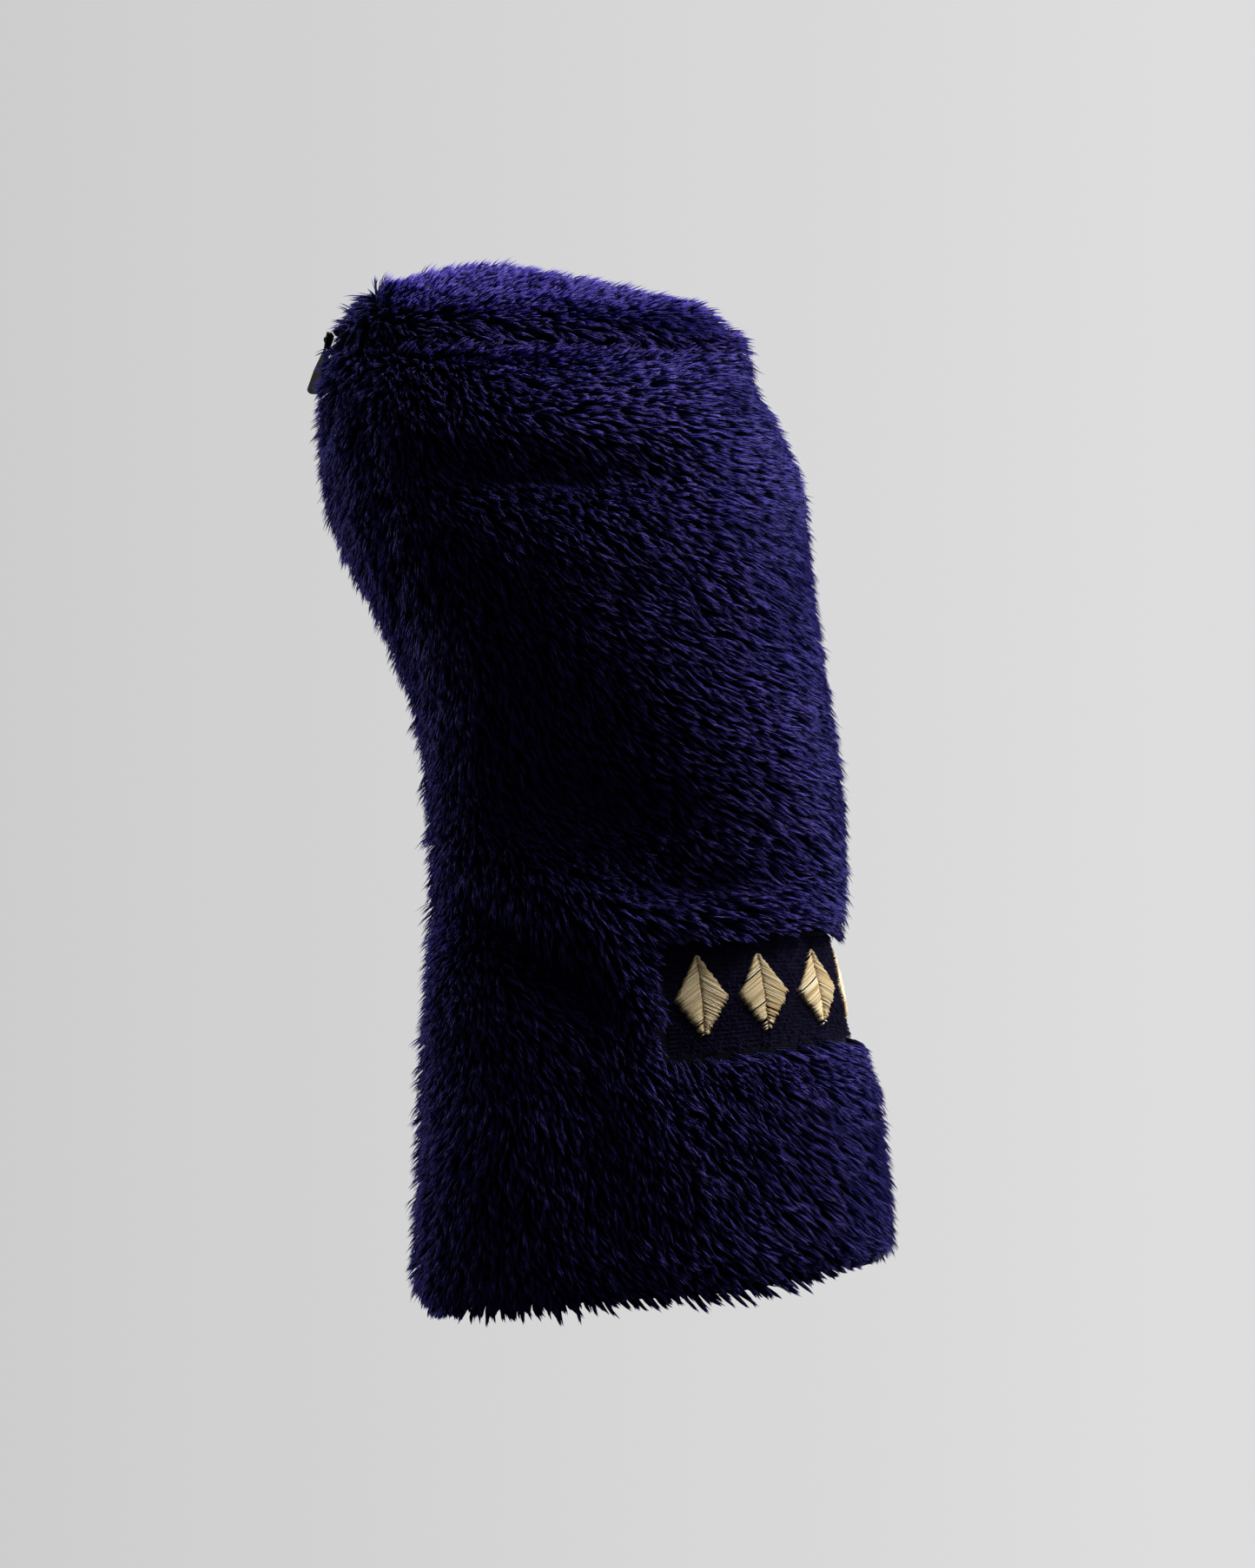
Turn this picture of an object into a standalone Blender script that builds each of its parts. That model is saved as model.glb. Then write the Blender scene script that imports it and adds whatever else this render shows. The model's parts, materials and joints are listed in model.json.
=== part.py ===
"""Plush sock cover for a golf club head, modelled as the pieces it is sewn from.

Frame: metres, +Z up along the club shaft towards the crown, -Y towards the front panel,
+X towards the heel side, which carries the embroidered band. The origin lies on the
shaft's axis, in the plane of the mouth.
"""
from math import cos, pi, radians, sin

import bpy
import numpy as np

MM = 0.001

# The outer surface of the pile is a stack of rounded ovals, from the mouth (ring 0) to the
# top of the crown. Each line is one ring, in mm: its toe end (x, z), its heel end (x, z)
# and its half depth in y. Every ring is flat, and the mouth ring passes through the origin.
RINGS_MM = [
    (-93.5, -6.5, 49.5, 3.5, 41.0),
    (-97.0, 6.0, 54.0, 20.0, 43.5),
    (-97.0, 27.0, 53.0, 40.0, 43.5),
    (-96.3, 48.0, 49.7, 61.0, 42.5),
    (-95.6, 69.0, 46.0, 82.0, 41.0),
    (-95.0, 88.0, 43.5, 98.0, 40.0),
    (-93.5, 108.5, 39.5, 114.5, 38.5),
    (-92.0, 124.0, 39.5, 128.0, 38.5),
    (-92.5, 144.0, 39.0, 146.0, 40.5),
    (-94.5, 165.0, 37.0, 165.0, 44.0),
    (-99.0, 187.0, 33.5, 186.0, 48.0),
    (-107.0, 207.0, 31.5, 205.0, 51.0),
    (-116.5, 226.0, 29.3, 222.0, 53.0),
    (-122.5, 243.0, 27.3, 238.0, 53.5),
    (-125.5, 260.0, 24.5, 254.0, 52.0),
    (-126.0, 275.0, 18.5, 269.0, 48.5),
    (-123.5, 288.0, 11.0, 283.0, 43.5),
    (-119.3, 299.0, 4.5, 295.0, 36.5),
    (-116.0, 305.5, -0.5, 302.0, 32.0),
    (-111.5, 310.5, -9.0, 308.0, 27.5),
    (-106.0, 314.5, -23.0, 312.0, 21.5),
    (-97.0, 317.8, -39.0, 316.0, 15.0),
    (-86.0, 320.0, -55.0, 319.0, 8.0),
    (-70.5, 321.2, -70.5, 321.2, 0.0),
]
CROWN_SEAM = 17.0
CROWN_TOP = float(len(RINGS_MM) - 1)
SQUARENESS = 2.25

# Ring numbers that matter, and the half width in degrees of the toe gusset at some of them.
BAND_LOW, BAND_MIDDLE, BAND_HIGH = 4.0, 5.0, 6.0
PADDING_FROM = 8.0
LINING_FROM = 1.0
HEM_FACING_TO = 1.5
TOE_GUSSET_RINGS = [0.0, 8.0, 10.0, 11.2, 12.3, 14.0, CROWN_SEAM]
TOE_GUSSET_HALF_DEG = [8.0, 9.0, 13.0, 26.0, 35.0, 38.0, 38.0]

# Depths below the outer pile surface, in mm.
BACKING_TOP, BACKING_INSIDE = 9.6, 10.8
MOTIF_LAYER = (6.4, 7.1)
BAND_LAYER = (7.4, 8.6)
STABILISER_LAYER = (8.9, 9.3)
HEM_FACING_LAYER = (11.1, 12.1)
PADDING_LAYER = (11.1, 13.6)
LINING_THICKNESS = 0.8
LINING_DEPTH_SKIRT, LINING_DEPTH_HEAD = 12.4, 13.9

# The band's window in the pile, in degrees either side of the heel seam.
BAND_HALF_DEG = 85.2
WINDOW_WALL_DEG = 0.8
WINDOW_WALL_RINGS = 0.07

# Half of the gap that touching pieces keep, along a ring and from ring to ring.
HALF_GAP_DEG = 0.25
HALF_GAP_RINGS = 0.03

# Embroidery: a row of lozenges along the band.
LOZENGE_COUNT = 7
LOZENGE_PITCH, LOZENGE_WIDTH, LOZENGE_HEIGHT = 19.6, 17.0, 27.0
LOZENGE_TIP = 0.8
LOZENGE_COLUMNS = 6
RING_SPACING_AT_BAND = 17.5

# Neck elastic in its casing, as (depth in mm, ring) corners.
CASING_LOW, CASING_HIGH = 6.05, 6.95
CASING_HEM = 0.07
CASING_LAYER, CASING_WALL = (13.6, 16.3), 0.6
ELASTIC_LAYER = (14.0, 15.3)
ELASTIC_LOW, ELASTIC_HIGH = 6.15, 6.85

# Folded tab in the seam between crown and toe gusset. It hangs from its hinge line.
TAB_HINGE_MM = (-120.9, 0.0, 299.4)
TAB_LEAN_DEG = 15.0
TAB_WIDTH = 14.0
TAB_CLEAR, TAB_STITCHED, TAB_LENGTH = 1.2, 6.0, 20.5
TAB_STRIP = 0.85
TAB_ROOT_HALF, TAB_LOOP_HALF = 0.95, 2.3
ANCHOR_LENGTH, ANCHOR_CLEAR = 8.3, 1.2
ANCHOR_SLOPE_DEG = 20.0
NOTCH_WIDTH, NOTCH_HEIGHT, NOTCH_LENGTH = 15.6, 3.2, 10.4
BARTACK = (1.6, 11.0, 0.45)
DENT_MM = 5.0
DENT_FROM, DENT_TO_DEG = 14.4, 34.0


def clear_scene():
    for item in list(bpy.data.objects):
        bpy.data.objects.remove(item, do_unlink=True)


def material(name, colour, roughness=0.9):
    made = bpy.data.materials.new(name)
    made.use_nodes = True
    shader = made.node_tree.nodes["Principled BSDF"]
    shader.inputs["Base Color"].default_value = (*colour, 1.0)
    shader.inputs["Roughness"].default_value = roughness
    shader.inputs["Metallic"].default_value = 0.0
    made.diffuse_color = (*colour, 1.0)
    return made


# ---- The outer surface and its layers

def ring(t):
    """The ring at a fractional ring number, by a smooth curve through the listed rings."""
    rings = np.array(RINGS_MM)
    last = len(rings) - 1
    i = int(min(max(t, 0.0), last - 1e-9))
    f = t - i
    p = [rings[min(max(k, 0), last)] for k in (i - 1, i, i + 1, i + 2)]
    return 0.5 * (2 * p[1] + (p[2] - p[0]) * f
                  + (2 * p[0] - 5 * p[1] + 4 * p[2] - p[3]) * f ** 2
                  + (3 * p[1] - p[0] - 3 * p[2] + p[3]) * f ** 3)


def rounded(value):
    """Cosine or sine of a rounded oval, which is a little squarer than an ellipse."""
    return np.sign(value) * abs(value) ** (2.0 / SQUARENESS)


def outer_point(t, degrees):
    """A point of the outer pile surface. 0 degrees is the heel, 90 the front, 180 the toe."""
    toe_x, toe_z, heel_x, heel_z, half_depth = ring(t)
    across, out = rounded(cos(radians(degrees))), rounded(sin(radians(degrees)))
    return np.array([
        (heel_x + toe_x) / 2 + across * (heel_x - toe_x) / 2,
        -half_depth * out,
        (heel_z + toe_z) / 2 + across * (heel_z - toe_z) / 2,
    ])


def outward(t, degrees):
    """Unit normal of the outer surface. At the mouth it stays in the mouth's own plane."""
    if t >= CROWN_TOP:
        return np.array([0.0, 0.0, 1.0])
    low, high = max(t - 0.02, 0.0), min(t + 0.02, CROWN_TOP - 0.01)
    up = outer_point(high, degrees) - outer_point(low, degrees)
    along = outer_point(t, degrees + 0.5) - outer_point(t, degrees - 0.5)
    normal = np.cross(up, along)
    if t <= 0.0:
        normal -= normal.dot(mouth_normal()) * mouth_normal()
    return normal / np.linalg.norm(normal)


def mouth_normal():
    toe_x, toe_z, heel_x, heel_z, _ = RINGS_MM[0]
    normal = np.array([toe_z - heel_z, 0.0, heel_x - toe_x])
    return normal / np.linalg.norm(normal)


def layer_point(t, degrees, depth):
    return outer_point(t, degrees) - depth * outward(t, degrees)


def toe_half_width(t):
    return float(np.interp(t, TOE_GUSSET_RINGS, TOE_GUSSET_HALF_DEG))


# ---- Columns round a ring, in degrees

def spread(start, end, count):
    return [start + (end - start) * k / count for k in range(count + 1)]


def front_columns(t, window):
    """From the heel seam to the toe gusset, with the narrow wall of the band's window."""
    wall = BAND_HALF_DEG + WINDOW_WALL_DEG
    past = spread(wall, 180.0 - toe_half_width(t), 6)
    beside = spread(0.0, BAND_HALF_DEG, 7)
    return beside + (past if window else past[1:])


def front_panel_columns(t):
    columns = front_columns(t, True)
    return [HALF_GAP_DEG] + columns[1:-1] + [columns[-1] - HALF_GAP_DEG]


def toe_columns(t):
    half = toe_half_width(t)
    return spread(180.0 - half, 180.0 + half, 6)


def toe_panel_columns(t):
    columns = toe_columns(t)
    return [columns[0] + HALF_GAP_DEG] + columns[1:-1] + [columns[-1] - HALF_GAP_DEG]


def half_columns(t):
    """The front half of a lining or padding: front panel and half of the toe gusset."""
    columns = front_columns(t, False) + toe_columns(t)[1:4]
    return [HALF_GAP_DEG] + columns[1:-1] + [180.0 - HALF_GAP_DEG]


def full_columns(t):
    half = front_columns(t, False) + toe_columns(t)[1:4]
    return half[:-1] + mirrored(half)[:-1]


def mirrored(columns):
    """The same columns on the back of the cover."""
    return [360.0 - degrees for degrees in reversed(columns)]


# ---- Solids

def wall(a, b, per_side, flipped):
    """Two faces that join an edge of the outer side to the same edge of the inner side.

    Both sides of a seam are split along the same diagonal, so that their gap stays even.
    """
    faces = [(a, b, b + per_side), (a, b + per_side, a + per_side)]
    return [tuple(reversed(face)) for face in faces] if flipped else faces


def add_object(name, points_mm, faces, look):
    mesh = bpy.data.meshes.new(name)
    mesh.from_pydata([tuple(MM * float(c) for c in p) for p in points_mm], [], faces)
    mesh.validate()
    mesh.materials.append(look)
    mesh.shade_smooth()
    mesh.set_sharp_from_angle(angle=radians(35))
    made = bpy.data.objects.new(name, mesh)
    bpy.context.collection.objects.link(made)
    return made


def layer(name, rows, columns, outside, inside, look, back=False, closed=False):
    """A closed solid between two depths of the outer surface.

    rows lists ring numbers, columns gives the degrees for a ring, and outside and inside
    give a depth in mm for a ring and an angle. A closed layer runs right round; one whose
    last row is the crown's top ends there in a point.
    """
    ends_in_point = rows[-1] >= CROWN_TOP
    points = []
    for depth in (outside, inside):
        for t in rows:
            degrees = mirrored(columns(t)) if back else columns(t)
            if ends_in_point and t == rows[-1]:
                points.append(layer_point(t, 0.0, depth(t, 0.0)))
                continue
            points += [layer_point(t, angle, depth(t, angle)) for angle in degrees]
    count = len(columns(rows[0]))
    strips = len(rows) - (2 if ends_in_point else 1)
    per_side = len(points) // 2
    steps = range(count if closed else count - 1)

    def vertex(side, row, column):
        return side * per_side + row * count + column % count

    faces = []
    for row in range(strips):
        for column in steps:
            a, b = vertex(0, row, column), vertex(0, row, column + 1)
            c, d = vertex(0, row + 1, column + 1), vertex(0, row + 1, column)
            faces += [(a, c, b), (a, d, c)]
            faces += [tuple(k + per_side for k in f) for f in ((a, b, c), (a, c, d))]
    if ends_in_point:
        for column in steps:
            a, b = vertex(0, strips, column), vertex(0, strips, column + 1)
            faces += [(a, per_side - 1, b), (a + per_side, b + per_side, 2 * per_side - 1)]
    for column in steps:
        faces += wall(vertex(0, 0, column), vertex(0, 0, column + 1), per_side, False)
        if not ends_in_point:
            a, b = vertex(0, strips, column), vertex(0, strips, column + 1)
            faces += wall(a, b, per_side, True)
    if not closed:
        for row in range(strips):
            a, b = vertex(0, row, 0), vertex(0, row + 1, 0)
            faces += wall(a, b, per_side, True)
            a, b = vertex(0, row, count - 1), vertex(0, row + 1, count - 1)
            faces += wall(a, b, per_side, False)
    return add_object(name, points, faces, look)


def swept_ring(name, corners, look):
    """A closed band of constant section; corners lists (depth, ring) round the section."""
    points = []
    for depth, t in corners:
        points += [layer_point(t, angle, depth) for angle in full_columns(t)]
    count = len(full_columns(corners[0][1]))
    faces = []
    for side in range(len(corners)):
        next_side = (side + 1) % len(corners)
        for column in range(count):
            a, b = side * count + column, side * count + (column + 1) % count
            c, d = next_side * count + (column + 1) % count, next_side * count + column
            faces += [(a, b, c), (a, c, d)]
    return add_object(name, points, faces, look)


def box(name, size_mm, centre_mm, turn_deg, look):
    """A box turned about Y, with its own X along the first size."""
    half = np.array(size_mm) / 2
    turn = radians(turn_deg)
    points = []
    for sx in (-1, 1):
        for sy in (-1, 1):
            for sz in (-1, 1):
                x, y, z = half * (sx, sy, sz)
                points.append(np.array(centre_mm) + (
                    x * cos(turn) + z * sin(turn), y, -x * sin(turn) + z * cos(turn)))
    faces = [(0, 1, 3, 2), (4, 6, 7, 5), (0, 4, 5, 1), (2, 3, 7, 6), (0, 2, 6, 4), (1, 5, 7, 3)]
    return add_object(name, points, faces, look)


# ---- Depth of each layer

def even(depth):
    return lambda t, degrees: depth


def in_window(t, degrees):
    beside_heel = min(degrees % 360.0, 360.0 - degrees % 360.0)
    return BAND_LOW <= t <= BAND_HIGH and beside_heel <= BAND_HALF_DEG + 0.01


def pile_depth(t, degrees):
    """The pile fills the shell, except in the window, where the band lies on the backing."""
    return BACKING_TOP if in_window(t, degrees) else 0.0


def toe_depth(t, degrees):
    """The hanging tab presses a shallow dent into the pile of the toe gusset."""
    if t < DENT_FROM:
        return 0.0
    aside = abs(degrees - 180.0) / DENT_TO_DEG
    return DENT_MM * max(0.0, 1.0 - aside)


def lining_depth(t, degrees):
    return LINING_DEPTH_SKIRT if t < PADDING_FROM else LINING_DEPTH_HEAD


def lining_inside(t, degrees):
    return lining_depth(t, degrees) + LINING_THICKNESS


# ---- The sewn pieces

def shell_rows():
    wall = WINDOW_WALL_RINGS
    skirt = [0.0, 0.5, 1.0, HEM_FACING_TO, 2.0, 3.0]
    band = [BAND_LOW - wall, BAND_LOW, BAND_MIDDLE, BAND_HIGH, BAND_HIGH + wall]
    head = [float(k) for k in range(7, int(CROWN_SEAM))]
    return skirt + band + head + [CROWN_SEAM - HALF_GAP_RINGS]


def crown_rows():
    above = [float(k) for k in range(int(CROWN_SEAM) + 1, int(CROWN_TOP) + 1)]
    return [CROWN_SEAM + HALF_GAP_RINGS] + above


def rows_up_to_crown(first):
    return [float(k) for k in range(int(first), int(CROWN_SEAM))] + [
        CROWN_SEAM - HALF_GAP_RINGS]


def build_pile(look):
    """Front and back panels, toe gusset and crown gusset: pile on its knitted backing."""
    inside = even(BACKING_INSIDE)
    layer("front_fur_panel", shell_rows(), front_panel_columns, pile_depth, inside, look)
    layer("back_fur_panel", shell_rows(), front_panel_columns, pile_depth, inside, look,
          back=True)
    toe = layer("toe_gusset", shell_rows(), toe_panel_columns, toe_depth, inside, look)
    crown = layer("crown_gusset", crown_rows(), full_columns, even(0.0), inside, look,
                  closed=True)
    return crown, toe


def build_band(ground, mesh_look):
    rows = [BAND_LOW + HALF_GAP_RINGS, BAND_MIDDLE, BAND_HIGH - HALF_GAP_RINGS]
    reach = BAND_HALF_DEG - HALF_GAP_DEG * 2

    def columns(t):
        return spread(-reach, reach, 14)

    outside, inside = BAND_LAYER
    layer("embroidered_band", rows, columns, even(outside), even(inside), ground)
    outside, inside = STABILISER_LAYER
    layer("band_stabiliser", rows, columns, even(outside), even(inside), mesh_look)


def degrees_at(distance_mm):
    """The angle reached by walking along the band's face from the heel seam."""
    step = 0.25
    depth = BAND_LAYER[0]
    walked, degrees = 0.0, 0.0
    here = layer_point(BAND_MIDDLE, 0.0, depth)
    while walked < abs(distance_mm):
        degrees += step
        there = layer_point(BAND_MIDDLE, degrees, depth)
        walked += float(np.linalg.norm(there - here))
        here = there
    return degrees * (1 if distance_mm >= 0 else -1)


def build_lozenge(number, look):
    centre = (number - (LOZENGE_COUNT - 1) / 2) * LOZENGE_PITCH
    middle = (BAND_LOW + BAND_HIGH) / 2
    stations = spread(centre - LOZENGE_WIDTH / 2, centre + LOZENGE_WIDTH / 2, LOZENGE_COLUMNS)
    angles = [degrees_at(s) for s in stations]

    def half_height(s):
        share = 1.0 - abs(s - centre) / (LOZENGE_WIDTH / 2)
        return max(LOZENGE_TIP, share * LOZENGE_HEIGHT / 2) / RING_SPACING_AT_BAND

    points = []
    for depth in MOTIF_LAYER:
        for level in (-1, 0, 1):
            for s, angle in zip(stations, angles):
                points.append(layer_point(middle + level * half_height(s), angle, depth))
    count = LOZENGE_COLUMNS + 1
    per_side = 3 * count
    faces = []
    for row in range(2):
        for column in range(LOZENGE_COLUMNS):
            a = row * count + column
            b, c, d = a + 1, a + 1 + count, a + count
            faces += [(a, c, b), (a, d, c)]
            faces += [tuple(k + per_side for k in f) for f in ((a, b, c), (a, c, d))]
    for column in range(LOZENGE_COLUMNS):
        faces += wall(column, column + 1, per_side, False)
        faces += wall(2 * count + column, 2 * count + column + 1, per_side, True)
    for row in range(2):
        a, b = row * count, (row + 1) * count
        faces += wall(a, b, per_side, True)
        faces += wall(a + count - 1, b + count - 1, per_side, False)
    return add_object(f"gold_lozenge_{number + 1}", points, faces, look)


def build_padding(look):
    outside, inside = (even(depth) for depth in PADDING_LAYER)
    rows = rows_up_to_crown(PADDING_FROM)
    layer("front_padding", rows, half_columns, outside, inside, look)
    layer("back_padding", rows, half_columns, outside, inside, look, back=True)
    layer("crown_padding", crown_rows(), full_columns, outside, inside, look, closed=True)


def build_lining(look):
    rows = rows_up_to_crown(LINING_FROM)
    layer("front_lining", rows, half_columns, lining_depth, lining_inside, look)
    layer("back_lining", rows, half_columns, lining_depth, lining_inside, look, back=True)
    layer("crown_lining", crown_rows(), full_columns, lining_depth, lining_inside, look,
          closed=True)


def build_mouth_and_neck(facing_look, casing_look, elastic_look):
    outside, inside = (even(depth) for depth in HEM_FACING_LAYER)
    rows = [0.0, 0.5, 1.0, HEM_FACING_TO]
    layer("hem_facing", rows, full_columns, outside, inside, facing_look, closed=True)
    near, far = CASING_LAYER
    swept_ring("elastic_casing", [
        (near, CASING_LOW), (far, CASING_LOW), (far, CASING_HIGH), (near, CASING_HIGH),
        (near, CASING_HIGH - CASING_HEM), (far - CASING_WALL, CASING_HIGH - CASING_HEM),
        (far - CASING_WALL, CASING_LOW + CASING_HEM), (near, CASING_LOW + CASING_HEM),
    ], casing_look)
    near, far = ELASTIC_LAYER
    swept_ring("neck_elastic", [
        (near, ELASTIC_LOW), (far, ELASTIC_LOW), (far, ELASTIC_HIGH), (near, ELASTIC_HIGH),
    ], elastic_look)


# ---- The tab

def tab_frame_point(along, across, side):
    """A point of the hanging tab: along its length, away from the pile, and in y."""
    lean = radians(TAB_LEAN_DEG)
    down = np.array([-sin(lean), 0.0, -cos(lean)])
    away = np.array([-cos(lean), 0.0, sin(lean)])
    return along * down + across * away + np.array([0.0, side, 0.0])


def tab_outline(root_half, loop_half, start, end):
    """Half the outline of a teardrop: straight root, swelling, and a round end."""
    swell = end - loop_half
    points = [(start, root_half), (TAB_STITCHED, root_half)]
    for share in (0.35, 0.7, 1.0):
        eased = share * share * (3 - 2 * share)
        points.append((TAB_STITCHED + share * (swell - TAB_STITCHED),
                       root_half + eased * (loop_half - root_half)))
    for k in range(1, 4):
        turn = k * pi / 6
        points.append((swell + loop_half * sin(turn), loop_half * cos(turn)))
    return points


def build_tab(look, thread_look):
    """A loop of flat webbing: two layers sewn together at the root, open at the fold."""
    outer_half = tab_outline(TAB_ROOT_HALF, TAB_LOOP_HALF, TAB_CLEAR, TAB_LENGTH)
    inner_half = tab_outline(0.12, TAB_LOOP_HALF - TAB_STRIP, TAB_STITCHED - 0.4,
                             TAB_LENGTH - TAB_STRIP)
    outer = outer_half + [(s, -n) for s, n in reversed(outer_half[:-1])]
    inner = inner_half + [(s, -n) for s, n in reversed(inner_half[:-1])]
    count = len(outer)
    points = []
    for side in (-TAB_WIDTH / 2, TAB_WIDTH / 2):
        for outline in (outer, inner):
            points += [tab_frame_point(s, n, side) for s, n in outline]
    faces = []
    for k in range(count):
        a, b = k, (k + 1) % count
        faces.append((a, b, b + count, a + count))
        faces.append((b + 2 * count, a + 2 * count, a + 3 * count, b + 3 * count))
        faces.append((b, a, a + 2 * count, b + 2 * count))
        faces.append((a + count, b + count, b + 3 * count, a + 3 * count))
    tab = add_object("side_tab", points, faces, look)
    tab.location = [MM * c for c in TAB_HINGE_MM]

    along, across, thick = BARTACK
    middle = tab_frame_point(3.6, TAB_ROOT_HALF + 0.3 + thick / 2, 0.0)
    stitches = box("tab_bartack", (thick, across, along), middle, TAB_LEAN_DEG, thread_look)
    stitches.parent = tab
    return tab


def build_anchor(look, crown, toe):
    """The sewn end of the tab's webbing, and the slit it passes through in the pile."""
    slope = radians(ANCHOR_SLOPE_DEG)
    inward = np.array([cos(slope), 0.0, -sin(slope)])
    hinge = np.array(TAB_HINGE_MM)
    middle = hinge + inward * (ANCHOR_CLEAR + ANCHOR_LENGTH / 2)
    box("tab_anchor", (ANCHOR_LENGTH, TAB_WIDTH, 2 * TAB_ROOT_HALF), middle,
        ANCHOR_SLOPE_DEG, look)
    middle = hinge + inward * (NOTCH_LENGTH / 2 - 0.2)
    slit = box("tab_slit_cutter", (NOTCH_LENGTH, NOTCH_WIDTH, NOTCH_HEIGHT), middle,
               ANCHOR_SLOPE_DEG, look)
    slit.hide_render = True
    slit.display_type = "WIRE"
    for panel in (crown, toe):
        cut = panel.modifiers.new("tab_slit", "BOOLEAN")
        cut.operation = "DIFFERENCE"
        cut.solver = "EXACT"
        cut.object = slit


def main():
    clear_scene()
    pile = material("navy_pile", (0.018, 0.018, 0.055), 0.75)
    ground = material("navy_knit", (0.015, 0.016, 0.045), 0.85)
    gold = material("gold_thread", (0.60, 0.44, 0.20), 0.45)
    stabiliser = material("tearaway_backing", (0.55, 0.55, 0.54), 0.9)
    wadding = material("wadding", (0.75, 0.75, 0.72), 1.0)
    lining = material("navy_lining", (0.02, 0.02, 0.05), 0.8)
    facing = material("hem_facing", (0.012, 0.012, 0.03), 0.85)
    casing = material("casing", (0.02, 0.02, 0.05), 0.8)
    elastic = material("elastic", (0.02, 0.02, 0.02), 0.7)
    webbing = material("black_webbing", (0.012, 0.012, 0.013), 0.6)
    thread = material("black_thread", (0.02, 0.02, 0.022), 0.6)

    crown, toe = build_pile(pile)
    build_band(ground, stabiliser)
    for number in range(LOZENGE_COUNT):
        build_lozenge(number, gold)
    build_padding(wadding)
    build_lining(lining)
    build_mouth_and_neck(facing, casing, elastic)
    build_tab(webbing, thread)
    build_anchor(webbing, crown, toe)


main()
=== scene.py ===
"""Looks of a plush golf club head cover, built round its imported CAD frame.

Lengths are in millimetres and angles in degrees unless a name says otherwise, and meshes
are scaled to metres when they are made. The cover's surface is addressed by ring number t,
from 0 at the mouth to 23 at the top of the crown, and by the angle round the ring: 0 is the
heel edge (+X), 90 the front (-Y), 180 the toe edge and 270 the back.
"""
import json
from functools import cached_property
from math import radians

import bpy
import numpy as np
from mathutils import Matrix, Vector


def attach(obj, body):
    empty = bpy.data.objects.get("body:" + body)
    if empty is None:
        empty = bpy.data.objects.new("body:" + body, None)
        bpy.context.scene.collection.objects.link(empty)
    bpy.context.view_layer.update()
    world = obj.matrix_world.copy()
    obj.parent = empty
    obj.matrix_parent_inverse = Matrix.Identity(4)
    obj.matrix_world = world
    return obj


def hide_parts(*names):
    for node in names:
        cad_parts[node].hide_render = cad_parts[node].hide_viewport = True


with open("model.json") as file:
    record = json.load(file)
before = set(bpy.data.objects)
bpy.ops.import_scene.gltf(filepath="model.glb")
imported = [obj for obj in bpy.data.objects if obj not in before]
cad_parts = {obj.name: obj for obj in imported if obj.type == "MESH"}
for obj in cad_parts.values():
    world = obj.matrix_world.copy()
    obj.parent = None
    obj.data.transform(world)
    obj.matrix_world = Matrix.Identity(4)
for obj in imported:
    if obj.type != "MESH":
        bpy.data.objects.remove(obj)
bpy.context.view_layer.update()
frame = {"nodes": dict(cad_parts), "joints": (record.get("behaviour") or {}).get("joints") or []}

MM = 0.001
CHART = "OFBake"

# ---- The cover's outer pile surface, as in the CAD: toe x, z, heel x, z and half depth.

RINGS = np.array([
    (-93.5, -6.5, 49.5, 3.5, 41),
    (-97, 6, 54, 20, 43.5),
    (-97, 27, 53, 40, 43.5),
    (-96.3, 48, 49.7, 61, 42.5),
    (-95.6, 69, 46, 82, 41),
    (-95, 88, 43.5, 98, 40),
    (-93.5, 108.5, 39.5, 114.5, 38.5),
    (-92, 124, 39.5, 128, 38.5),
    (-92.5, 144, 39, 146, 40.5),
    (-94.5, 165, 37, 165, 44),
    (-99, 187, 33.5, 186, 48),
    (-107, 207, 31.5, 205, 51),
    (-116.5, 226, 29.3, 222, 53),
    (-122.5, 243, 27.3, 238, 53.5),
    (-125.5, 260, 24.5, 254, 52),
    (-126, 275, 18.5, 269, 48.5),
    (-123.5, 288, 11, 283, 43.5),
    (-119.3, 299, 4.5, 295, 36.5),
    (-116, 305.5, -0.5, 302, 32),
    (-111.5, 310.5, -9, 308, 27.5),
    (-106, 314.5, -23, 312, 21.5),
    (-97, 317.8, -39, 316, 15),
    (-86, 320, -55, 319, 8),
    (-70.5, 321.2, -70.5, 321.2, 0),
])
LAST_RING = len(RINGS) - 1
CROWN_SEAM = 17.0
SQUARENESS = 2.25
TOE_RINGS = [0.0, 8.0, 10.0, 11.2, 12.3, 14.0, CROWN_SEAM]
TOE_HALF_DEG = [8.0, 9.0, 13.0, 26.0, 35.0, 38.0, 38.0]

# The band's window in the pile.
BAND_LOW, BAND_MIDDLE, BAND_HIGH = 4.0, 5.0, 6.0
BAND_HALF_DEG = 85.2

# Depths below the outer pile surface.
BACKING = (7.7, 9.4)
HEM_FACING = (10.6, 11.6)
PADDING = (11.1, 13.5)
LINING_SKIRT, LINING_HEAD, LINING_THICK = 12.4, 13.9, 0.8
BAND = (7.4, 8.6)
ELASTIC = (14.1, 14.9)
CASING = (15.5, 16.1)

# Rings where the hem, its facing and the padding start or end.
HEM_RING, HEM_RISE = 0.28, 0.2
HEM_FACING_TO = 1.5
PADDING_FROM = 8.0

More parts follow.
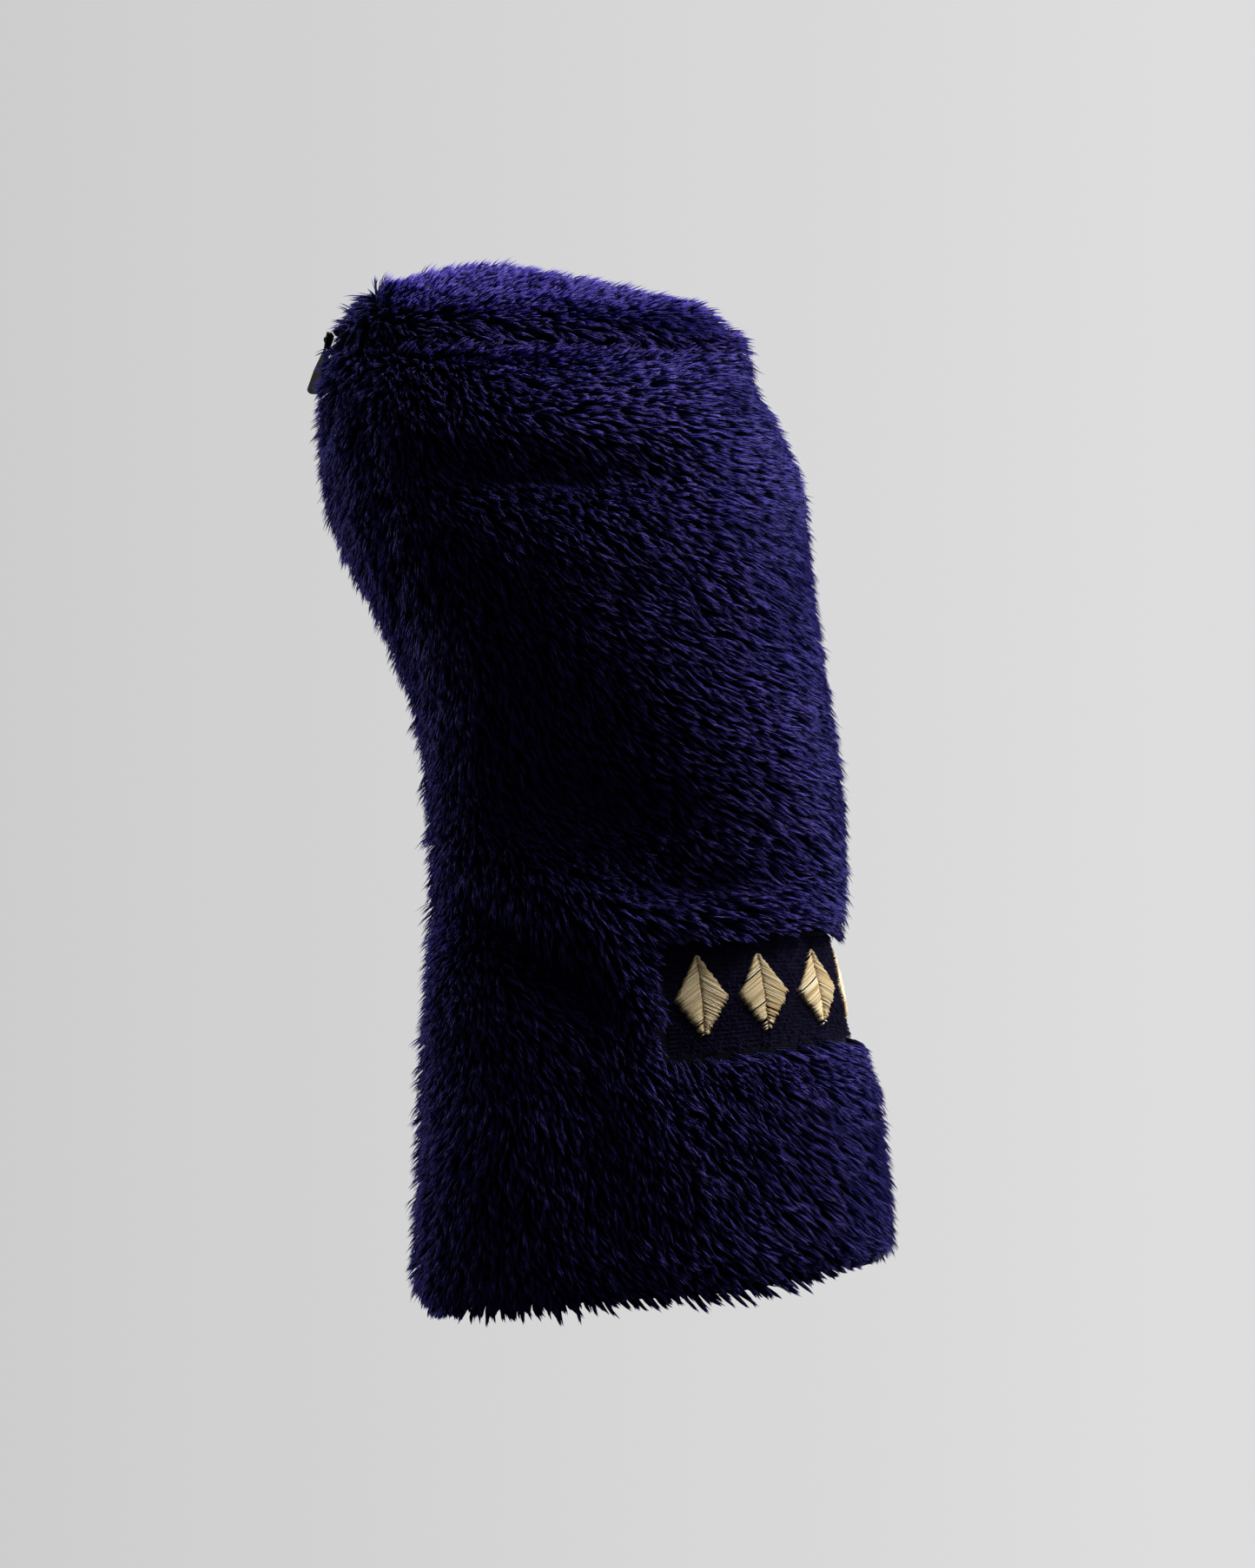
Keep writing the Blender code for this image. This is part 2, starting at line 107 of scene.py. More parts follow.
# Dents (negative) and swellings in the pile: height, x, z, half length, half width, turn.
FRONT_RELIEF = [
    (-8, -46, 149, 24, 10, -3),
    (-3.5, -58, 170, 18, 14, 0),
    (-6, -52, 253, 28, 7.5, -2),
    (3, -56, 270, 34, 9, 0),
    (-9, -58, 107, 26, 5.5, -36),
    (3, -78, 96, 22, 8, -36),
    (4.5, -50, 122, 32, 8, -20),
    (-4.5, -5, 128, 13, 5, 0),
    (2.5, -27, 95, 6, 18, 0),
    (-3, -40, 62, 10, 26, 8),
    (2, 4, 205, 20, 36, 0),
]
BACK_RELIEF = [
    (-5, -40, 158, 24, 15, 0),
    (-5, -52, 116, 30, 6.5, 28),
    (2.5, -40, 96, 26, 8, 28),
    (-3.5, -55, 252, 30, 7, 3),
    (2, -30, 215, 30, 22, 0),
]

# Other grooves and swellings of the pile, in millimetres.
UNEVENNESS = 1.1
SEAM_GROOVE, SEAM_LIP, TOE_GROOVE = 3.2, 1.0, 1.8
HEEL_SWELL, HEEL_LIP = 4.4, 1.8
TOE_END_SWELL, TAB_DENT, TAB_SWELL = 3.0, 3.0, 4.2


def smooth(low, high, value):
    """0 below low, 1 above high, and a smooth ramp between."""
    share = np.clip((value - low) / (high - low), 0.0, 1.0)
    return share * share * (3.0 - 2.0 * share)


def falling(low, high, value):
    """1 below low, 0 above high, and a smooth ramp between."""
    return 1.0 - smooth(low, high, value)


def ring_values(t):
    """The rows of RINGS at ring numbers t, on a smooth curve through them."""
    t = np.clip(t, 0.0, LAST_RING - 1e-6)
    i = t.astype(int)
    f = (t - i)[..., None]
    p0, p1, p2, p3 = (RINGS[np.clip(i + k, 0, LAST_RING)] for k in (-1, 0, 1, 2))
    return 0.5 * (2 * p1 + (p2 - p0) * f + (2 * p0 - 5 * p1 + 4 * p2 - p3) * f ** 2
                  + (3 * p1 - p0 - 3 * p2 + p3) * f ** 3)


def heelward(angle):
    """1 at the heel edge, -1 at the toe edge and 0 at the middle of front and back."""
    return np.cos(np.radians(angle))


def frontward(angle):
    """1 at the middle of the front and -1 at the middle of the back."""
    return np.sin(np.radians(angle))


def oval(value):
    """A cosine or sine bent so that the rings are a little squarer than ellipses."""
    return np.sign(value) * np.abs(value) ** (2.0 / SQUARENESS)


def pile_surface(t, angle):
    """Points of the smooth outer surface, for arrays of rings and angles."""
    toe_x, toe_z, heel_x, heel_z, depth = np.moveaxis(ring_values(t), -1, 0)
    across, out = oval(heelward(angle)), oval(frontward(angle))
    return vectors((heel_x + toe_x) / 2 + across * (heel_x - toe_x) / 2, -depth * out,
                   (heel_z + toe_z) / 2 + across * (heel_z - toe_z) / 2)


def vectors(x, y, z):
    """Rows of three from numbers or arrays."""
    return np.stack(np.broadcast_arrays(x, y, z), axis=-1)


def unit(rows):
    """Rows scaled to length one."""
    return rows / np.maximum(np.linalg.norm(rows, axis=-1, keepdims=True), 1e-9)


def lay_flat(flow, normal):
    """Directions in the surface, from directions near it."""
    return unit(flow - (flow * normal).sum(axis=1, keepdims=True) * normal)


def normals_of(surface, t, angle):
    """Outward normals by small steps over a surface function."""
    up = surface(np.minimum(t + 0.03, LAST_RING - 0.01), angle) - surface(
        np.maximum(t - 0.03, 0.0), angle)
    along = surface(t, angle + 0.6) - surface(t, angle - 0.6)
    return unit(np.cross(up, along))


def ripple(points, wavelength, seed):
    """A smooth random field between about -1 and 1."""
    rng = np.random.default_rng(seed)
    total = np.zeros(points.shape[:-1])
    for _ in range(7):
        wave = unit(rng.normal(size=3)) * 2 * np.pi / (wavelength * rng.uniform(0.75, 1.5))
        total += np.sin(points @ wave + rng.uniform(0, 2 * np.pi))
    return total / 3.2


def from_heel(angle):
    """Degrees round the ring from the heel edge, either way."""
    return np.abs((angle + 180.0) % 360.0 - 180.0)


def from_toe(angle):
    """Degrees round the ring from the toe edge, either way."""
    return np.abs(angle - 180.0)


def window_weight(t, angle):
    """1 inside the band's window and 0 a little way outside it."""
    along = falling(BAND_HALF_DEG, BAND_HALF_DEG + 12.0, from_heel(angle))
    low = smooth(BAND_LOW - 0.7, BAND_LOW, t)
    high = falling(BAND_HIGH, BAND_HIGH + 0.7, t)
    return along * low * high


def bell(value, middle, spread):
    """1 at the middle, falling to 1/e at the spread."""
    return np.exp(-((value - middle) / spread) ** 2)


def relief(t, angle):
    """How far the pile surface swells out, with its dents negative."""
    points = pile_surface(t, angle)
    x, z = points[..., 0], points[..., 2]
    facing = frontward(angle)
    total = UNEVENNESS * ripple(points, 52.0, 11)
    for side, spots in ((1.0, FRONT_RELIEF), (-1.0, BACK_RELIEF)):
        weight = smooth(0.0, 0.55, side * facing)
        for height, cx, cz, long, wide, turn in spots:
            c, s = np.cos(radians(turn)), np.sin(radians(turn))
            u, v = (x - cx) * c + (z - cz) * s, -(x - cx) * s + (z - cz) * c
            total = total + weight * height * np.exp(-0.5 * ((u / long) ** 2 + (v / wide) ** 2))
    below_crown = falling(CROWN_SEAM - 1.5, CROWN_SEAM, t)
    total = total * (1.0 - window_weight(t, angle)) * (0.35 + 0.65 * below_crown)

    # The crown seam: a groove at front and back, a full lip above it, fuller at the heel.
    heel = smooth(0.55, 1.0, heelward(angle))
    groove = smooth(0.2, 0.55, np.abs(facing)) * (1.0 - heel)
    above_seam = t - CROWN_SEAM
    total = total - SEAM_GROOVE * groove * bell(above_seam, -0.22, 0.3)
    total = total + SEAM_LIP * bell(above_seam, 0.9, 0.6)
    total = total + heel * (HEEL_SWELL * bell(above_seam, -0.1, 0.65)
                            + HEEL_LIP * bell(above_seam, 1.7, 0.8))

    # The toe gusset's two seams, then the crown's toe end and the pile round the tab.
    beside = from_toe(angle)
    total = total - TOE_GROOVE * bell(beside, toe_half(t), 3.5) * (t < CROWN_SEAM)
    toe_end = bell(x, -110.0, 7.0) * bell(z, 312.0, 8.0)
    round_tab = smooth(14.8, 15.6, t) * falling(0.2, 1.0, above_seam)
    behind_tab = round_tab * falling(9.0, 13.5, beside)
    beside_tab = round_tab * bell(beside, 21.0, 8.0) * (1.0 + 0.5 * bell(above_seam, 0.0, 0.4))
    return total + TOE_END_SWELL * toe_end - TAB_DENT * behind_tab + TAB_SWELL * beside_tab


def flat_layer(t, angle, depth):
    """Points at a depth below the smooth surface, with no relief."""
    inward = np.broadcast_to(depth, np.shape(t))[..., None]
    return pile_surface(t, angle) - inward * normals_of(pile_surface, t, angle)


def layer_surface(depth):
    """A surface function at a depth below the outer surface, with the relief added."""
    def surface(t, angle):
        inward = depth(t, angle) if callable(depth) else depth
        return flat_layer(t, angle, inward - relief(t, angle))
    return surface


def hemmed(t, angle):
    """Rings near the mouth, moved up a little at the heel where the hem curves up."""
    heel = smooth(0.3, 1.0, heelward(angle))
    return t + HEM_RISE * heel * falling(HEM_RING, 2.0, t)


def on_hem(surface):
    """A surface function with its rings moved by the hem's curve."""
    return lambda t, angle: surface(hemmed(t, angle), angle)


def toe_half(t):
    """Half the angle that the toe gusset takes up."""
    return np.interp(t, TOE_RINGS, TOE_HALF_DEG)


# ---- Meshes

def mesh_object(name, points_mm, faces, look):
    """An object from points in mm and faces of any kind."""
    mesh = bpy.data.meshes.new(name)
    points = np.asarray(points_mm, dtype=np.float32) * MM
    mesh.from_pydata(points.tolist(), [], faces)
    mesh.materials.append(look)
    return add_object(name, mesh)


def add_object(name, data):
    """A new object in the scene, from a mesh, a light or a camera."""
    made = bpy.data.objects.new(name, data)
    bpy.context.scene.collection.objects.link(made)
    return made


def register(piece, node, body="cover"):
    """Ride a piece on its body and hide the CAD node that it stands for."""
    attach(piece, body)
    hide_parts(node)
    return piece


def triangle_mesh(name, points_mm, triangles, look):
    """A large mesh of triangles, from arrays."""
    mesh = bpy.data.meshes.new(name)
    mesh.vertices.add(len(points_mm))
    mesh.vertices.foreach_set("co", (points_mm * MM).astype(np.float32).ravel())
    mesh.loops.add(triangles.size)
    mesh.loops.foreach_set("vertex_index", triangles.astype(np.int32).ravel())
    mesh.polygons.add(len(triangles))
    mesh.polygons.foreach_set("loop_start", np.arange(0, triangles.size, 3, dtype=np.int32))
    mesh.polygons.foreach_set("use_smooth", np.ones(len(triangles), dtype=bool))
    mesh.update(calc_edges=True)
    mesh.materials.append(look)
    return mesh


def sheet_faces(rows, columns, closed=False, tops=False):
    """Faces of two sheets joined at their edges, where the outer sheet's points come first.
    A closed sheet runs round, and one that tops out has a single point as its last row."""
    per_side = (rows - 1) * columns + 1 if tops else rows * columns
    faces = []

    def edge(a, b):
        faces.append((a, b, b + per_side, a + per_side))

    strips = rows - 2 if tops else rows - 1
    steps = columns if closed else columns - 1
    for column in range(steps):
        right = (column + 1) % columns
        for row in range(strips):
            a, b = row * columns + column, row * columns + right
            c, d = b + columns, a + columns
            faces.append((a, d, c, b))
            faces.append((a + per_side, b + per_side, c + per_side, d + per_side))
        edge(column, right)
        a, b = strips * columns + column, strips * columns + right
        if tops:
            faces.append((a, per_side - 1, b))
            faces.append((a + per_side, b + per_side, 2 * per_side - 1))
        else:
            edge(b, a)
    if not closed:
        for row in range(strips):
            a, b = row * columns, (row + 1) * columns
            edge(b, a)
            edge(a + columns - 1, b + columns - 1)
    return faces


def shell(name, t_rows, angle_rows, outside, inside, look, slot, node, closed=False):
    """A closed sheet between two surfaces. A closed shell runs round; a row past the last
    ring ends it in a point at the top of the crown."""
    t = np.asarray(t_rows, float)
    angle = np.asarray(angle_rows, float)
    rows, columns = angle.shape
    rings = np.repeat(t[:, None], columns, axis=1)
    tops = t[-1] >= LAST_RING
    points = []
    for surface in (outside, inside):
        grid = surface(rings, angle)
        if tops:
            points += [grid[:-1].reshape(-1, 3), grid[-1].mean(axis=0)[None]]
        else:
            points.append(grid.reshape(-1, 3))
    faces = sheet_faces(rows, columns, closed, tops)
    return register(mesh_object(name, np.concatenate(points), faces, look), node)


def front_and_back(name, node, rows, columns, *rest):
    """A shell over the front half, and one like it over the back half."""
    return [shell(name.format(side), rows, angles, *rest, node.format(side))
            for side, angles in (("front", columns), ("back", 360.0 - columns[:, ::-1]))]


def crown_shell(name, node, gap, count, step, *rest):
    """A shell over the crown, which starts a little above its seam."""
    rows = np.append(np.linspace(CROWN_SEAM + gap, LAST_RING - 0.15, count), LAST_RING)
    around = np.tile(np.arange(0.0, 360.0, step), (len(rows), 1))
    return shell(name, rows, around, *rest, node, closed=True)


# ---- Materials

class Graph:
    """Short helpers for the nodes of a material or of the room."""

    def __init__(self, holder):
        holder.use_nodes = True
        self.made = holder
        self.tree = holder.node_tree

    def node(self, kind, **values):
        """A new node. A name in lower case is a setting's, and one with a capital letter
        is a socket's."""
        made = self.tree.nodes.new(kind)
        self.set_up(made, **values)
        return made

    def set_up(self, node, **values):
        for name, value in values.items():
            if name[0].isupper():
                self.feed([node.inputs[name.replace("_", " ")]], value)
            else:
                setattr(node, name, value)

    def feed(self, sockets, *values):
        """Give each socket a plain value or another node's output."""
        for socket, value in zip(sockets, values):
            if isinstance(value, bpy.types.NodeSocket):
                self.tree.links.new(value, socket)
            else:
                socket.default_value = value

    def maths(self, kind, *values):
        made = self.node("ShaderNodeMath", operation=kind)
        self.feed(made.inputs, *values)
        return made.outputs[0]

    def axes(self, vector):
        """The X, Y and Z of a vector."""
        return tuple(self.node("ShaderNodeSeparateXYZ", Vector=vector).outputs)

    def span(self, value, *ends, **settings):
        """A value mapped from one range to another: from low, from high, to low, to high."""
        made = self.node("ShaderNodeMapRange", **settings)
        self.feed(made.inputs, value, *ends)
        return made.outputs[0]


class Look(Graph):
    """A Principled material."""

    def __init__(self, name, roughness=0.8, **plain):
        super().__init__(bpy.data.materials.new(name))
        self.shader = self.tree.nodes["Principled BSDF"]
        self.set_up(self.shader, Roughness=roughness, **plain)

    def chart(self):
        """Tint across and root to tip up, from the strands' own map."""
        return self.axes(self.node("ShaderNodeUVMap", uv_map=CHART).outputs["UV"])[:2]

    @cached_property
    def place(self):
        """Object coordinates in millimetres."""
        place = self.node("ShaderNodeTexCoord").outputs["Object"]
        return self.node("ShaderNodeMapping", Vector=place, Scale=(1000.0,) * 3).outputs[0]

    def noise(self, scale, detail):
        made = self.node("ShaderNodeTexNoise", Vector=self.place, Scale=scale, Detail=detail)
        return made.outputs["Fac"]

    def wave(self, scale, direction, distortion=0.0):
        made = self.node("ShaderNodeTexWave", bands_direction=direction, Vector=self.place,
                         Scale=scale, Distortion=distortion)
        return made.outputs["Fac"]

    def ramp(self, value, *stops):
        made = self.node("ShaderNodeValToRGB", Fac=value)
        made.color_ramp.interpolation = "B_SPLINE" if len(stops) > 3 else "LINEAR"
        elements = made.color_ramp.elements
        while len(elements) < len(stops):
            elements.new(0.5)
        for element, (place, colour) in zip(elements, stops):
            element.position = place
            element.color = (*colour, 1.0)
        return made.outputs["Color"]

    def mix(self, share, first, second, blend="MIX"):
        """A colour mix. Its colour sockets are inputs 6 and 7 and output 2."""
        made = self.node("ShaderNodeMix", data_type="RGBA", blend_type=blend)
        colours = [(*value, 1.0) if isinstance(value, tuple) else value
                   for value in (first, second)]
        self.feed((made.inputs["Factor"], made.inputs[6], made.inputs[7]), share, *colours)
        return made.outputs[2]

    def colour(self, source):
        self.set_up(self.shader, Base_Color=source)

    def roughen(self, value, low, high):
        self.set_up(self.shader, Roughness=self.span(value, 0.0, 1.0, low, high))

    def bump(self, height, distance_mm):
        made = self.node("ShaderNodeBump", Height=height, Distance=distance_mm * MM)
        self.set_up(self.shader, Normal=made.outputs["Normal"])


def grey(value):
    """A colour without hue."""
    return (value, value, value)


def pile_look():
    """Deep acrylic pile: violet-blue at the tip, darkened to near-black navy at the root as
    painted shade deep in the pile, and a little light let through so that its edges glow."""
    look = Look("pile", Specular_IOR_Level=0.03, Sheen_Weight=0.22, Sheen_Roughness=0.35,
                Sheen_Tint=(0.17, 0.22, 1.0, 1.0), Subsurface_Weight=0.25,
                Subsurface_Radius=(0.4, 0.4, 1.0), Subsurface_Scale=0.0012)
    tint, along = look.chart()
    # Painted shade: each fibre darkens from its violet-blue tip to near-black at its root, where
    # shade falls inside the pile.
    navy = look.ramp(along, (0.0, (0.001, 0.001, 0.002)), (0.45, (0.004, 0.003, 0.011)),
                     (0.8, (0.016, 0.012, 0.066)), (1.0, (0.029, 0.021, 0.122)))
    shade = look.ramp(tint, (0.0, grey(0.45)), (0.5, grey(0.95)),
                      (1.0, (1.70, 1.65, 1.55)))
    look.colour(look.mix(1.0, navy, shade, "MULTIPLY"))
    look.roughen(tint, 0.62, 0.46)
    return look.made


def backing_look():
    """The knitted ground that the pile grows from."""
    look = Look("pile_backing", 0.95, Specular_IOR_Level=0.15)
    loops = look.wave(0.55, "Z", 1.5)
    fuzz = look.noise(0.9, 5.0)
    look.colour(look.mix(fuzz, (0.0015, 0.0015, 0.004), (0.006, 0.006, 0.020)))
    look.bump(look.maths("ADD", loops, fuzz), 0.35)
    return look.made


def nap_look():
    """Short brushed nap of the band, darker towards the root as painted shade."""
    look = Look("band_nap", Specular_IOR_Level=0.04, Sheen_Weight=0.08, Sheen_Roughness=0.4,
                Sheen_Tint=(0.25, 0.24, 1.0, 1.0))
    tint, along = look.chart()
    # Painted shade: the nap darkens from its tip to its root.
    navy = look.ramp(along, (0.0, (0.003, 0.003, 0.007)), (1.0, (0.016, 0.012, 0.050)))
    shade = look.ramp(tint, (0.0, grey(0.6)), (1.0, (1.4, 1.35, 1.3)))
    look.colour(look.mix(1.0, navy, shade, "MULTIPLY"))
    look.roughen(tint, 0.75, 0.6)
    return look.made


def band_look():
    """Close knit under the nap, flattened in rows by the first stitching."""
    look = Look("band_ground", 0.85, Specular_IOR_Level=0.05)
    fuzz = look.noise(1.4, 5.0)
    patch = look.noise(0.12, 2.0)
    base = look.mix(fuzz, (0.002, 0.002, 0.006), (0.012, 0.009, 0.034))
    look.colour(look.mix(patch, base, (0.006, 0.005, 0.018)))
    look.roughen(fuzz, 0.75, 0.95)
    look.bump(look.maths("ADD", fuzz, look.wave(0.9, "Z", 1.0)), 0.18)
    return look.made


def gold_look():
    """Lustrous rayon thread, a little uneven in colour from stitch to stitch, with painted shade
    at both ends of each thread, where it dives into the ground.
    """
    look = Look("gold_satin", Specular_IOR_Level=0.55, Sheen_Weight=0.15,
                Anisotropic=0.4)
    tint, along = look.chart()
    twist = look.wave(1.7, "DIAGONAL", 1.0)
    colour = look.ramp(tint, (0.0, (0.46, 0.29, 0.10)), (0.45, (0.70, 0.54, 0.27)),
                       (1.0, (0.86, 0.76, 0.52)))
    # Painted shade: each thread is darker and browner at both ends, where it dives into the
    # ground.
    ends = look.ramp(along, (0.0, (0.55, 0.48, 0.40)), (0.18, grey(1.0)),
                     (0.82, grey(1.0)), (1.0, (0.55, 0.48, 0.40)))
    look.colour(look.mix(1.0, colour, ends, "MULTIPLY"))
    look.roughen(tint, 0.5, 0.34)
    look.bump(twist, 0.05)
    return look.made


def webbing_look(name, light):
    """Black woven webbing: fine diagonal yarns, rubbed paler along raised picks."""
    look = Look(name, Specular_IOR_Level=0.08)
    across = look.wave(1.15, "Y")
    along = look.wave(0.95, "Z")
    weave = look.maths("MULTIPLY", across, along)
    dust = look.noise(0.35, 4.0)
    cloth = look.mix(weave, grey(0.003), (light, light, light * 1.02))
    look.colour(look.mix(dust, cloth, (light * 1.4, light * 1.35, light * 1.3)))
    look.roughen(dust, 0.75, 0.95)
    look.bump(weave, 0.12)
    return look.made


def cloth_look(name, dark, pale, yarn, roughness=0.8):
    """Plain woven or knitted cloth in two close tones."""
    look = Look(name, Specular_IOR_Level=0.25)
    weft, warp = look.wave(yarn, "Z", 0.6), look.wave(yarn, "X", 0.6)
    weave = look.maths("MULTIPLY", weft, warp)
    blotch = look.noise(0.08, 4.0)
    look.colour(look.mix(blotch, look.mix(weave, dark, pale), dark))
    look.roughen(blotch, roughness - 0.1, roughness + 0.1)
    look.bump(weave, 0.15)
    return look.made


def wadding_look():
    """Pale loose fibres."""
    look = Look("wadding", 1.0, Specular_IOR_Level=0.1)
    fibre = look.noise(0.5, 8.0)
    look.colour(look.mix(fibre, (0.55, 0.55, 0.53), (0.85, 0.85, 0.82)))
    look.bump(fibre, 0.6)
    return look.made


# ---- Strands: real mesh fibres, each a thin closed spike of three sides

STATIONS = np.array([0.0, 0.40, 0.74])
STATION_WIDTH = np.array([1.0, 1.0, 0.78])
SIDES = 3


def rim_points(middle, side, upward, radius, sides):
    """Points round each point of a strand's middle line, in a new second-last axis."""
    return np.stack([middle + radius * (np.cos(phase) * side + np.sin(phase) * upward)
                     for phase in 2 * np.pi * np.arange(sides) / sides], axis=-2)


def tube_edges(rings, sides):
    """For each side face of a tube, the two points at its lower edge."""
    return [(ring * sides + k, ring * sides + (k + 1) % sides)
            for ring in range(rings - 1) for k in range(sides)]


def tube_triangles(rings, sides):
    """Triangles round a tube, without its ends."""
    faces = []
    for a, b in tube_edges(rings, sides):
        faces += [(a, a + sides, b), (b, a + sides, b + sides)]
    return faces


def strands(name, look, points, faces, tint, along, node):
    """A piece of many equal strands. The map across them is their tint, and the map up is
    how far along the strand each of its points lies."""
    count, per = points.shape[:2]
    triangles = (faces[None] + (np.arange(count) * per)[:, None, None]).reshape(-1, 3)
    mesh = triangle_mesh(name, points.reshape(-1, 3), triangles, look)
    chart = np.empty((count, per, 2))
    chart[..., 0] = np.clip(tint, 0.02, 0.98)[:, None]
    chart[..., 1] = 0.02 + 0.96 * along[None]
    layer = mesh.uv_layers.new(name=CHART)
    corners = chart.reshape(-1, 2)[triangles.ravel()]
    layer.data.foreach_set("uv", corners.astype(np.float32).ravel())
    return register(add_object(name, mesh), node)


def spike_triangles():
    """Triangles of one spike: rings of three points and a tip, closed at the root."""
    rings = len(STATIONS)
    faces = [(0, 1, 2)] + tube_triangles(rings, SIDES)
    top = (rings - 1) * SIDES
    for k in range(SIDES):
        faces.append((top + k, rings * SIDES, top + (k + 1) % SIDES))
    return np.array(faces)


def spikes(name, slot, node, look, roots, normal, flow, length, lean_root, lean_tip,
           along_off, side_off, gather, stray, width, tint):
    """Every spike bends from lean_root to lean_tip towards its flow, while its offset from
    the middle of its tuft closes up by the share gather."""
    side = np.cross(normal, flow)
    start, end = np.radians(lean_root), np.radians(lean_tip)
    turn = np.where(np.abs(end - start) < 1e-3, 1e-3, end - start)
    offset = along_off[:, None] * flow + side_off[:, None] * side
    count, rings = len(roots), len(STATIONS)
    points = np.zeros((count, rings * SIDES + 1, 3))

    def spine(share):
        angle = start + turn * share
        rise = (np.sin(angle) - np.sin(start)) / turn
        run = (np.cos(start) - np.cos(angle)) / turn
        middle = roots + length[:, None] * (normal * rise[:, None] + flow * run[:, None])
        middle += offset * (1.0 - gather * share)[:, None] + stray * share ** 2
        return middle, angle

    for k, (share, thin) in enumerate(zip(STATIONS, STATION_WIDTH)):
        middle, angle = spine(share)
        heading = normal * np.cos(angle)[:, None] + flow * np.sin(angle)[:, None]
        upward = np.cross(heading, side)
        radius = (width * thin / 2)[:, None]
        rim = rim_points(middle, side, upward, radius, SIDES)
        points[:, k * SIDES:(k + 1) * SIDES] = rim
    points[:, -1], _ = spine(1.0)

    along = np.append(np.repeat(STATIONS, SIDES), 1.0)
    return strands(name, look, points, spike_triangles(), tint, along, node)


# ---- Pile

TUFT_SPACING, TUFT_RADIUS, JITTER = 2.1, 1.0, 0.33
FIBRES_PER_TUFT, FIBRES_PER_PIECE = 6, 11800
PILE_LENGTH, FIBRE_WIDTH = 10.0, 0.44
LOOSE_SHARE, LOOSE_STRAY = 0.02, 3.5

# The pile is shorter up to 7 mm above the band, where a ring is about 17 mm.
RIM_RISE = 7.0 / 17.0

# Lean from the surface's normal, in degrees: on the body, on the crown and below the band.
LEAN_TIP, LEAN_ROOT = 61.0, 20.0
CROWN_LEAN_TIP, CROWN_LEAN_ROOT = 70.0, 30.0
BELOW_BAND_TIP, BELOW_BAND_ROOT = 58.0, 20.0

# Lie of the pile in degrees below the way to the heel: its value at the middle, its turn
# from toe to heel, and what the skirt, the hem, the head and chance add or take away.
LIE_MIDDLE, LIE_SWING, LIE_BEND = 39.0, 29.0, 6.0
LIE_SKIRT, LIE_HEM, LIE_HEAD, LIE_WANDER = 19.0, 15.0, 14.0, 9.0
CROWN_PARTING_X = -106.0


def walk(points):
    """Distance walked along a line of points, at each of them."""
    steps = np.linalg.norm(np.diff(points, axis=0), axis=-1)
    return np.append(0.0, np.cumsum(steps))


def tuft_sites(low, high, spacing, rng):
    """Evenly scattered (ring, angle) sites over a stretch of rings."""
    fine = np.linspace(low, high, 500)
    grid = pile_surface(*np.meshgrid(fine, np.arange(0.0, 360.0, 15.0), indexing="ij"))
    steps = np.linalg.norm(np.diff(grid, axis=0), axis=-1).mean(axis=1)
    walked = np.append(0.0, np.cumsum(steps))
    rows = np.arange(spacing * 0.3, walked[-1], spacing * 0.88)
    all_t, all_angle = [], []
    round_angles = np.linspace(0.0, 360.0, 721)
    for k, distance in enumerate(rows):
        t = np.interp(distance, walked, fine)
        reach = walk(pile_surface(np.full(len(round_angles), t), round_angles))
        count = max(3, int(round(reach[-1] / spacing)))
        places = np.arange(count) + 0.5 * (k % 2) + rng.uniform(-JITTER, JITTER, count)
        angle = np.interp(places / count * reach[-1] % reach[-1], reach, round_angles)
        lift = rng.uniform(-JITTER, JITTER, count) * spacing
        all_t.append(np.interp(distance + lift, walked, fine))
        all_angle.append(angle)
    return np.concatenate(all_t), np.concatenate(all_angle)


def lie_below(angle, points):
    """How steeply the pile of the body lies, in degrees below the way to the heel."""
    x, z = points[:, 0], points[:, 2]
    heel = heelward(angle)
    skirt = falling(35.0, 95.0, z)
    hem = falling(8.0, 35.0, z) * smooth(-90.0, -55.0, x)
    head = smooth(215.0, 285.0, z) * (0.6 + 0.4 * heel)
    below = LIE_MIDDLE - LIE_SWING * heel + LIE_BEND * heel ** 2
    return (below + LIE_SKIRT * skirt - LIE_HEM * hem - LIE_HEAD * head
            + LIE_WANDER * ripple(points, 60.0, 21))


def comb(t, angle, points, normal, region):
    """Which way the pile is brushed, as vectors that lie in the surface."""
    front = np.sign(frontward(angle))
    below = np.radians(lie_below(angle, points))
    body = vectors(np.cos(below), 0.0, -np.sin(below))
    toe = vectors(0.0, -0.25 * front, -1.0)

    # The crown is swept to the heel from its parting, and falls over its own seam.
    swept = smooth(-116.0, -98.0, points[:, 0])[:, None]
    over = falling(CROWN_SEAM + 0.2, CROWN_SEAM + 2.2, t)[:, None]
    cap = (1.0 - swept) * np.array([-0.6, 0.0, -1.0]) + swept * np.array([1.0, 0.0, -0.08])
    cap = cap + over * vectors(0.0, -0.55 * front, -0.45)
    flow = np.where((region == "toe")[:, None], toe, body)
    flow = np.where((region == "crown")[:, None], cap, flow)
    return lay_flat(flow, normal)


def region_of(t, angle):
    """Which panel a site lies on."""
    names = np.where(angle < 180.0, "front", "back")
    names = np.where(from_toe(angle) < toe_half(t), "toe", names)
    return np.where(t > CROWN_SEAM, "crown", names)


def seam_distance(t, angle):
    """Rough distance in mm from the nearest seam line."""
    to_crown = np.abs(t - CROWN_SEAM) * np.where(t > CROWN_SEAM, 6.5, 10.5)
    arc = np.abs(from_toe(angle) - toe_half(t))
    to_toe = np.where(t < CROWN_SEAM, arc * 0.85, 99.0)
    return np.minimum(to_crown, to_toe)


def in_window(t, angle):
    """Sites whose pile would stand on the band."""
    beside = from_heel(angle)
    return (t > BAND_LOW - 0.02) & (t < BAND_HIGH + 0.06) & (beside < BAND_HALF_DEG + 1.6)


